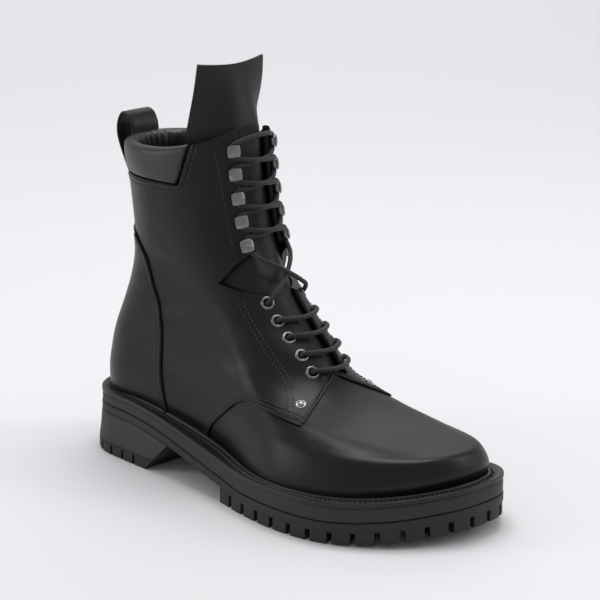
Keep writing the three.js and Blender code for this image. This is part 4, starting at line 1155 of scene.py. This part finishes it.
def braided(name, dark, light, strands):
    """Round braid: two sets of strands wound against each other, read from the cord's own map. Its colour darkens in
    the grooves between the strands, as painted shade.
    """
    material, shader = node_material(name)
    tree = material.node_tree
    at = tree.nodes.new("ShaderNodeTexCoord").outputs["UV"]
    waves = []
    for lean in (1.0, -1.0):
        split = wired(tree, "ShaderNodeSeparateXYZ", {0: at})
        wound = {0: split.outputs["Y"], 1: lean, 2: split.outputs["X"]}
        summed = wired(tree, "ShaderNodeMath", wound, operation="MULTIPLY_ADD")
        phase = wired(tree, "ShaderNodeMath", {0: summed.outputs[0], 1: 2 * math.pi * strands}, operation="MULTIPLY")
        waves.append(wired(tree, "ShaderNodeMath", {0: phase.outputs[0]}, operation="SINE"))
    braid = wired(tree, "ShaderNodeMath", {0: waves[0].outputs[0], 1: waves[1].outputs[0]}, operation="MULTIPLY")
    shown = wired(tree, "ShaderNodeMapRange", {"Value": braid.outputs[0], "From Min": -1.0, "From Max": 1.0})
    # The colour follows the braid's height: painted shade in the grooves between the strands, lighter on their
    # crests.
    tree.links.new(mixed(tree, shown.outputs["Result"], dark, light), shader.inputs["Base Color"])
    lifted = wired(tree, "ShaderNodeBump", {"Height": shown.outputs["Result"], "Strength": 0.5, "Distance": 0.0003})
    tree.links.new(lifted.outputs["Normal"], shader.inputs["Normal"])
    shader.inputs["Roughness"].default_value = 0.72
    shader.inputs["Sheen Weight"].default_value = 0.12
    shader.inputs["Sheen Roughness"].default_value = 0.5
    return material


lace_braid = braided("black_braid", (0.004, 0.004, 0.004), (0.013, 0.013, 0.0135), 5)


def strand_points(from_z, to_z, offset, arch=0.0, count=9):
    """Points from a height on the outer side to a height on the inner side, off the front of the leg."""
    s = np.linspace(0, 1, count)
    y = mix(FASTENER_Y["outer"], FASTENER_Y["inner"], s)
    z = mix(from_z, to_z, s) + arch * np.sin(np.pi * s)
    found = front_frames(y, z)
    lift = offset * (1 + 0.12 * np.sin(np.pi * s))
    return [point + normal * h for (point, _, _, normal), h in zip(found, lift)]


def through_eyelet(side_name, i):
    """The run from under an eyelet up through it and over its rim, towards the throat."""
    point, around, up, normal = eyelet_frames[side_name][i]
    inward = around * -SIDES[side_name]
    return [point + inward * along + normal * high for along, high in ((-0.8, -3.4), (-0.2, -0.4), (0.9, 2.2))]


def round_hook(side_name, i, upwards):
    """From the middle of a lace's turn behind a hook's neck, out to where it leaves above or below the plate."""
    point, around, up, normal = hook_frames[side_name][i]
    outward, way = around * SIDES[side_name], up * (1 if upwards else -1)
    lift = normal * (LACE["hook"] + 0.15)
    return [point + outward * out + way * on + lift for out, on in ((1.6, 0), (1.0, 2.6), (-2.2, 4.9))]


def laced(name, stands_for, lines):
    run = cord(name, lines, LACE["radius"])
    made_of(run, lace_braid)
    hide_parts(stands_for)


for i in range(1, 5):
    middle = strand_points(EYELET_Z[i], EYELET_Z[i], LACE["over"] + 0.2, arch=-1.2)
    line = [*through_eyelet("outer", i), *middle[1:-1], *through_eyelet("inner", i)[::-1]]
    laced(f"lace_run_{i}", f"lace_bar_{i}", [line])


# The strand that starts on the inner side passes over the other one.
CROSSINGS = (("outer", "inner"), ("inner", "outer"))


def crossing_points(from_side, low, high, offset):
    """Points of a strand that climbs from a low place on one side to a high place on the other."""
    return strand_points(low, high, offset) if from_side == "outer" else strand_points(high, low, offset)[::-1]


for k in range(5):
    runs = []
    for from_side, to_side in CROSSINGS:
        high, over = HOOK_Z[k] - LACE["beside"], from_side == "inner"
        arriving = round_hook(to_side, k, False)[::-1]
        if k == 0:
            middle = crossing_points(from_side, EYELET_Z[0], high, LACE["over"] + 1.6 * over)[1:-1]
            leaving = through_eyelet(from_side, 0)
        else:
            low = HOOK_Z[k - 1] + LACE["beside"]
            middle = crossing_points(from_side, low, high, LACE["hook"] + 2.4 * over)[2:-2]
            leaving = round_hook(from_side, k - 1, True)
        runs.append([*leaving, *middle, *arriving])
    laced(f"lace_cross_run_{k + 1}", f"lace_cross_{k + 1}", runs)
top_z = HOOK_Z[4] + LACE["beside"]
top = strand_points(top_z, top_z, LACE["hook"], arch=3)[2:-2]
laced("lace_top_run", "lace_top", [[*round_hook("outer", 4, True), *top, *round_hook("inner", 4, True)[::-1]]])

# ---- Stitching: waxed black thread, in single and double rows beside every edge and along the zip. Each stitch is
# pulled half into the leather.
thread = finish_material("waxed_thread", (0.012, 0.012, 0.012), (0.03, 0.03, 0.03), (0.45, 0.6), 2600.0, 0.3, 0.0)


def stitch_row(path, pitch, length, radius, lift, shift=0.0, lean=0.0):
    """The places of stitches along a path on the leather, turned by lean."""
    points, normals = path
    along = directions(points)
    run = np.r_[0, np.cumsum(np.linalg.norm(np.diff(points, axis=0), axis=1))]
    places = []
    for at in np.arange(pitch / 2, run[-1], pitch):
        found = (np.array([np.interp(at, run, v[:, i]) for i in range(3)]) for v in (points, normals, along))
        point, normal, ahead = found
        normal /= np.linalg.norm(normal)
        side = np.cross(normal, ahead)
        side /= np.linalg.norm(side)
        ahead = np.cross(side, normal)
        turned_ahead = ahead * math.cos(lean) + side * math.sin(lean)
        turned_side = side * math.cos(lean) - ahead * math.sin(lean)
        axes = [turned_ahead * length / 2, turned_side * radius, normal * radius]
        places.append((point + side * shift + normal * lift, axes))
    return places


def stitches(name, places, segments=6, rings=5, material=thread):
    """One piece with a stitch, a rounded spindle, at each place."""
    one = start("uv_sphere", name, segments=segments, ring_count=rings, radius=1)
    put(one, corners(one)[:, [2, 1, 0]])
    shaped(one, outwards)
    sewn = copied(one, name, places)
    shaped(sewn, outwards)
    made_of(sewn, material)


FINE = {"pitch": 2.8, "length": 2.3, "radius": 0.42}
LOWER_FACING = [[-25.2, 122.5], [-25.5, 116.2], [-26.5, 106.3], [-26.9, 100.9], [-27.2, 93], [-27, 86.5]]
LOWER_FACING = [*LOWER_FACING, [-27.6, 81.8], [-29.5, 77.6], [-35, 71.5], [-40.6, 67.2]]
FACING_FRONT = {"outer": -13.8, "inner": 20.8}
ON_QUARTER, ON_FACING, ON_COUNTER = (layer + 0.02 for layer in (LAYER, FACING_LAYER, COUNTER_LAYER))
# Each row: the edge it follows, the leather it is on, and how far from the edge it runs.
ROWS = [
    (rounded(SEAM_RISE), ON_QUARTER, -3.0),
    (rounded(SEAM_RUN), ON_QUARTER, -2.8),
    (rounded(SEAM_RUN), ON_QUARTER, -5.2),
    (TAB_EDGE, ON_QUARTER, -2.8),
    (rounded(COUNTER_EDGE[:-1]), ON_COUNTER, -4.6),
    (FACING_EDGE[1:-1], ON_FACING, -2.2),
]
sewn_at = []
for name, side in SIDES.items():
    facing_row = side_path(front_path(LOWER_FACING)[0][:, [0, 2]], side)
    for shift in (0.0, 3.0):
        sewn_at += stitch_row(facing_row, **FINE, lift=ON_QUARTER, shift=shift * side, lean=0.75 * side)
    for edge, lift, shift in ROWS:
        sewn_at += stitch_row(side_path(edge, side), **FINE, lift=lift, shift=shift * side)
    y = FACING_FRONT[name]
    sewn_at += stitch_row(front_path([[y, 152], [y, 226]]), **FINE, lift=ON_FACING)
sewn_at += stitch_row(side_path(rounded(PAD_SEAM), -1), **FINE, lift=ON_QUARTER, shift=-2.4)
for across, stop in ((-5.6, 222), (5.6, 188)):
    z = np.arange(ZIP["low"] - 5, stop, 1.5)
    zip_row = on_last(*on_side(zip_x(z) - across, np.minimum(z, 224), 1))
    sewn_at += stitch_row(zip_row, **FINE, lift=ON_QUARTER)
stitches("upper_stitching", sewn_at)

# ---- The welt: a strip of dark rubberised leather sewn round the upper, with a rounded rib against the leather, a
# sewing channel with thick slanting stitches, and a trimmed edge.
AROUND = 420


def sole_loop(inset):
    """The sole's outline from above, moved inwards, with points all round from the back by the outer side."""
    turn = np.arange(AROUND) / AROUND
    x = LENGTH * (1 - np.cos(2 * np.pi * turn)) / 2
    ends = round_end(x, 32, 2.1) * round_end(LENGTH - x, 78, 2.6)
    half = ends * (through(OUTLINE_X, OUTLINE_OUTER, x) + through(OUTLINE_X, OUTLINE_INNER, x)) / 2
    loop = np.stack([x, centre_line(x) - np.sign(np.sin(2 * np.pi * turn)) * half], 1)
    ahead = directions(loop, closed=True)
    return loop + np.stack([-ahead[:, 1], ahead[:, 0]], 1) * inset


def feather_loop(outset):
    loop = last_point(0.0, np.arange(AROUND) / AROUND)[:, :2]
    ahead = directions(loop, closed=True)
    return loop - np.stack([-ahead[:, 1], ahead[:, 0]], 1) * outset


def ring_of(name, loops, filled=True):
    """A closed ring of loops of points, or with filled, a solid with its first and last loops filled in."""
    loops = [*loops] if filled else [*loops, loops[0]]
    count = len(loops[0])
    piece, around, run = grid(name, count, len(loops) - 1)
    put(piece, in_frame(np.array(loops)[counted(run, len(loops) - 1), counted(around, count) % count]))
    merged(piece, filled=filled)
    return piece


inner_loop, outer_loop = feather_loop(0.3), sole_loop(0)
room = np.linalg.norm(outer_loop - inner_loop, axis=1)
fit = np.minimum(1, room / 9.5)[:, None]
outward = (outer_loop - inner_loop) / room[:, None]
# The section of each part: how far out from the upper, or in from the edge, and how high above the welt's top line.
WELT_RIB = [[0, 0.2], [0.1, 0.95], [0.45, 1.4], [1.0, 1.6], [1.6, 1.5], [2.1, 1.1], [2.45, 0.5], [2.6, -0.4]]
WELT_CHANNEL = [[2.8, -1.2], [3.3, -1.5], [5.3, -1.5], [5.9, -1.2], [6.2, -0.4], [6.4, 0.1], [6.8, 0.25]]
WELT_EDGE = [[1.1, 0.25], [0.55, 0.15], [0.15, -0.2], [0, -0.7], [0, -1.3], [0.12, -1.5], [0.12, -1.7], [0, -1.9]]
WELT_FOOT = [[0, -2.3], [0.2, -2.7]]
WELT_THICK = 2.7


def welt_loop(from_inner, from_outer, height):
    if from_inner is None:
        flat_loop = outer_loop - outward * from_outer * fit
    else:
        flat_loop = inner_loop + outward * from_inner * fit
    return np.column_stack([flat_loop, welt_top(flat_loop[:, 0]) + height])


welt_loops = [welt_loop(d, None, h) for d, h in (*WELT_RIB, *WELT_CHANNEL)]
welt_loops += [welt_loop(None, d, h) for d, h in (*WELT_EDGE, *WELT_FOOT)]
welt_loops += [welt_loop(0, None, -WELT_THICK), welt_loop(0, None, -1.2)]
welt = ring_of("welt_strip", welt_loops, filled=False)
smoothed(welt, 50)
welt_rubber = finish_material("welt_rubber", *soft_black, (0.36, 0.48), 900.0, 0.15, 0.3, specular=0.4)
made_of(welt, welt_rubber)
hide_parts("welt")

channel_loop = welt_loop(5.0, None, -0.35)
closed_channel = np.vstack([channel_loop, channel_loop[:1]])
up_there = np.tile([0.0, 0.0, 1.0], (len(closed_channel), 1))
welt_sewing = stitch_row((closed_channel, up_there), pitch=3.1, length=4.2, radius=0.8, lift=0.0, lean=1.0)
thread_black = ((0.016, 0.016, 0.016), (0.035, 0.035, 0.035))
welt_thread = finish_material("welt_thread", *thread_black, (0.32, 0.45), 2600.0, 0.3, 0.0)
stitches("welt_stitching", welt_sewing, 8, 7, welt_thread)

# ---- The midsole: a layer of buffed rubber glued under the welt, cut to its outline and trimmed a little inside it.
# It is thicker under the forepart than under the heel.
GAP = 0.3


def midsole_top(x):
    return welt_top(x) - WELT_THICK - GAP


def midsole_bottom(x):
    return midsole_top(x) - mix(6.3, 9.2, eased((x - 40) / 142))


def layer_loop(inset, height):
    loop = sole_loop(inset)
    return np.column_stack([loop, height(loop[:, 0])])


def between(s):
    return lambda x: mix(midsole_bottom(x), midsole_top(x), s)


MIDSOLE_LOW = [[1.2, 0], [0.7, 0.02], [0.45, 0.08], [0.35, 0.3], [0.3, 0.5]]
MIDSOLE_EDGE = [*MIDSOLE_LOW, [0.35, 0.75], [0.5, 0.93], [0.8, 0.99], [1.3, 1]]
midsole = ring_of("midsole_layer", [layer_loop(d, between(s)) for d, s in MIDSOLE_EDGE])
smoothed(midsole, 50)


def sole_finish(name, dark, light, rough, dark_below=None):
    """Moulded rubber: a fine buffed texture along the edge, dusty in places; darker below a height if asked."""
    material = finish_material(name, dark, light, rough, 1400.0, 0.22, 0.35, specular=0.45, distance=0.00035)
    if dark_below:
        tree = material.node_tree
        shader = next(node for node in tree.nodes if node.type == "BSDF_PRINCIPLED")
        colour = shader.inputs["Base Color"].links[0].from_socket
        at = tree.nodes.new("ShaderNodeTexCoord").outputs["Object"]
        split = wired(tree, "ShaderNodeSeparateXYZ", {0: at})
        ramp = {"From Min": dark_below - 0.6 * MM, "From Max": dark_below + 0.6 * MM, "To Min": 1.0, "To Max": 0.0}
        low = wired(tree, "ShaderNodeMapRange", {"Value": split.outputs["Z"], **ramp})
        darker = mixed(tree, low.outputs["Result"], colour, (0.007, 0.007, 0.0075))
        tree.links.new(darker, shader.inputs["Base Color"])
    return material


buffed = sole_finish("buffed_rubber", (0.01, 0.01, 0.0103), (0.017, 0.017, 0.0175), (0.55, 0.68))
made_of(midsole, buffed)
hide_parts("midsole")

# ---- The outsole: a moulded rubber plate with deep side lugs, a channel inside them and blocks between cross
# grooves.
PLATE, LUG_START = 5.5, 151
PLATE_EDGE = [[1.0, 0], [0.4, 0.1], [0.05, 0.5], [0, 1.2], [0, 4.3], [0.05, 5.0], [0.4, 5.4], [1.0, PLATE]]
EVERY_Y, FAR_BELOW = (-120, 120), -20


def plate_top(x):
    return midsole_bottom(x) - GAP


def plate_bottom(x):
    return plate_top(x) - PLATE


def off(height, by):
    return lambda x: height(x) + by


def all_at(z):
    return lambda x: 0 * x + z


outsole = ring_of("outsole_plate", [layer_loop(d, off(plate_bottom, h)) for d, h in PLATE_EDGE])
tread = ring_of("tread", [layer_loop(0.5, spring), layer_loop(0.5, off(plate_bottom, 1.0))])


def upright(x, y, z, width, depth, height, angle=0.0, taper=1.0):
    """A cutter block on its own centre, turned about the vertical, narrower at its top by taper."""
    block = start("cube", "cutter_block", size=1)
    local = corners(block)
    local[:, 0] *= np.where(local[:, 2] > 0, taper, 1.0)
    local = local * np.array([width, depth, height])
    c, s = math.cos(angle), math.sin(angle)
    turned = np.stack([local[:, 0] * c - local[:, 1] * s, local[:, 0] * s + local[:, 1] * c, local[:, 2]], 1)
    put(block, in_frame(turned + np.array([x, y, z])))
    return block


def edge_grooves(loop, pitch, width, depth, top, wanted, taper):
    """Grooves square to the edge, one every pitch along it."""
    ahead = np.roll(loop, -1, 0) - loop
    runs = np.linalg.norm(ahead, axis=1)
    blocks, walked = [], pitch / 2
    for p, a, run in zip(loop, ahead, runs):
        while walked < run:
            x, y = p + a * (walked / run)
            if wanted(x):
                blocks.append(upright(x, y, top(x) - 20, width, depth, 40, math.atan2(a[1], a[0]), taper))
            walked += pitch
        walked -= run
    return joined(blocks)


forepart = [[LUG_START, FAR_BELOW], [400, FAR_BELOW], [400, 80], [LUG_START, 80]]
carved(tread, side_cutter(forepart, *EVERY_Y), "INTERSECT")
side_grooves = {"pitch": 15, "width": 3.8, "depth": 26, "taper": 0.94, "wanted": lambda x: x > LUG_START + 8}
carved(tread, edge_grooves(sole_loop(0.5), top=off(plate_bottom, -0.7), **side_grooves))
channel = ring_of("channel", [layer_loop(13, off(spring, -5)), layer_loop(13.6, off(plate_bottom, -1.2))])
island = ring_of("island", [layer_loop(17.5, all_at(FAR_BELOW)), layer_loop(17, off(plate_bottom, 5))])
carved(channel, island)
carved(tread, channel)
for x in range(168, 295, 18):
    cross = upright(x, 0, float(plate_bottom(np.array(x))) - 11.2, 4.4, 140, 20)
    inside = ring_of("inside", [layer_loop(14, all_at(FAR_BELOW)), layer_loop(14, off(plate_bottom, 5))])
    carved(cross, inside, "INTERSECT")
    carved(tread, cross)
carved(outsole, tread, "UNION")
smoothed(outsole, 40)
tread_rubber = sole_finish("tread_rubber", (0.008, 0.008, 0.0083), (0.013, 0.013, 0.0135), (0.55, 0.7))
made_of(outsole, tread_rubber)
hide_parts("outsole")

# ---- The heel: a moulded rubber block glued under the midsole. It flares to the ground, is slanted at its front and
# has short lugs round its edge.
HEEL_FRONT, HEEL_Y = [[-9, -5], [65, -5], [70, 0], [96, 25], [96, 45], [-9, 45]], (-80, 80)
HEEL_FLARE = 2.2
HEEL_FOOT = [[0.8, 0], [0.25, 0.2], [0, 0.8], [0.0, 7.4], [0.5, 7.7], [0.5, 8.3], [0.1, 8.6]]
HEEL_WALL = [[-1.2, 0.55], [-0.5, 0.85], [-0.25, 0.96], [0.5, 1]]


def heel_height(s, drop=0.0):
    return lambda x: mix(0, plate_bottom(x) - GAP, s) + drop


heel_loops = [layer_loop(-HEEL_FLARE + d, heel_height(0, h)) for d, h in HEEL_FOOT]
heel_loops += [layer_loop(d, heel_height(s)) for d, s in HEEL_WALL]
heel = ring_of("heel_block", heel_loops)
carved(heel, side_cutter(HEEL_FRONT, *HEEL_Y), "INTERSECT")
heel_grooves = {"pitch": 12.5, "width": 2.8, "depth": 18, "taper": 0.8, "wanted": lambda x: x < 63}
carved(heel, edge_grooves(sole_loop(0), top=all_at(6.5), **heel_grooves))
for x in (20, 36, 52):
    carved(heel, upright(x, 0, 0, 3.4, 44, 14))
smoothed(heel, 40)
# The heel's rubber is coloured darker below 8 mm, round its lugs.
heel_rubber = sole_finish("heel_rubber", (0.017, 0.017, 0.0175), (0.028, 0.028, 0.029), (0.55, 0.68), 8 * MM)
made_of(heel, heel_rubber)
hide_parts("heel")

# ---- The insole: a flat leather footbed in the bottom of the boot, inside the lining. It is the model's own piece,
# and only gets its leather here.
insole = bpy.data.objects["insole"]
insole.data.materials.clear()
insole.data.materials.append(lining_leather)
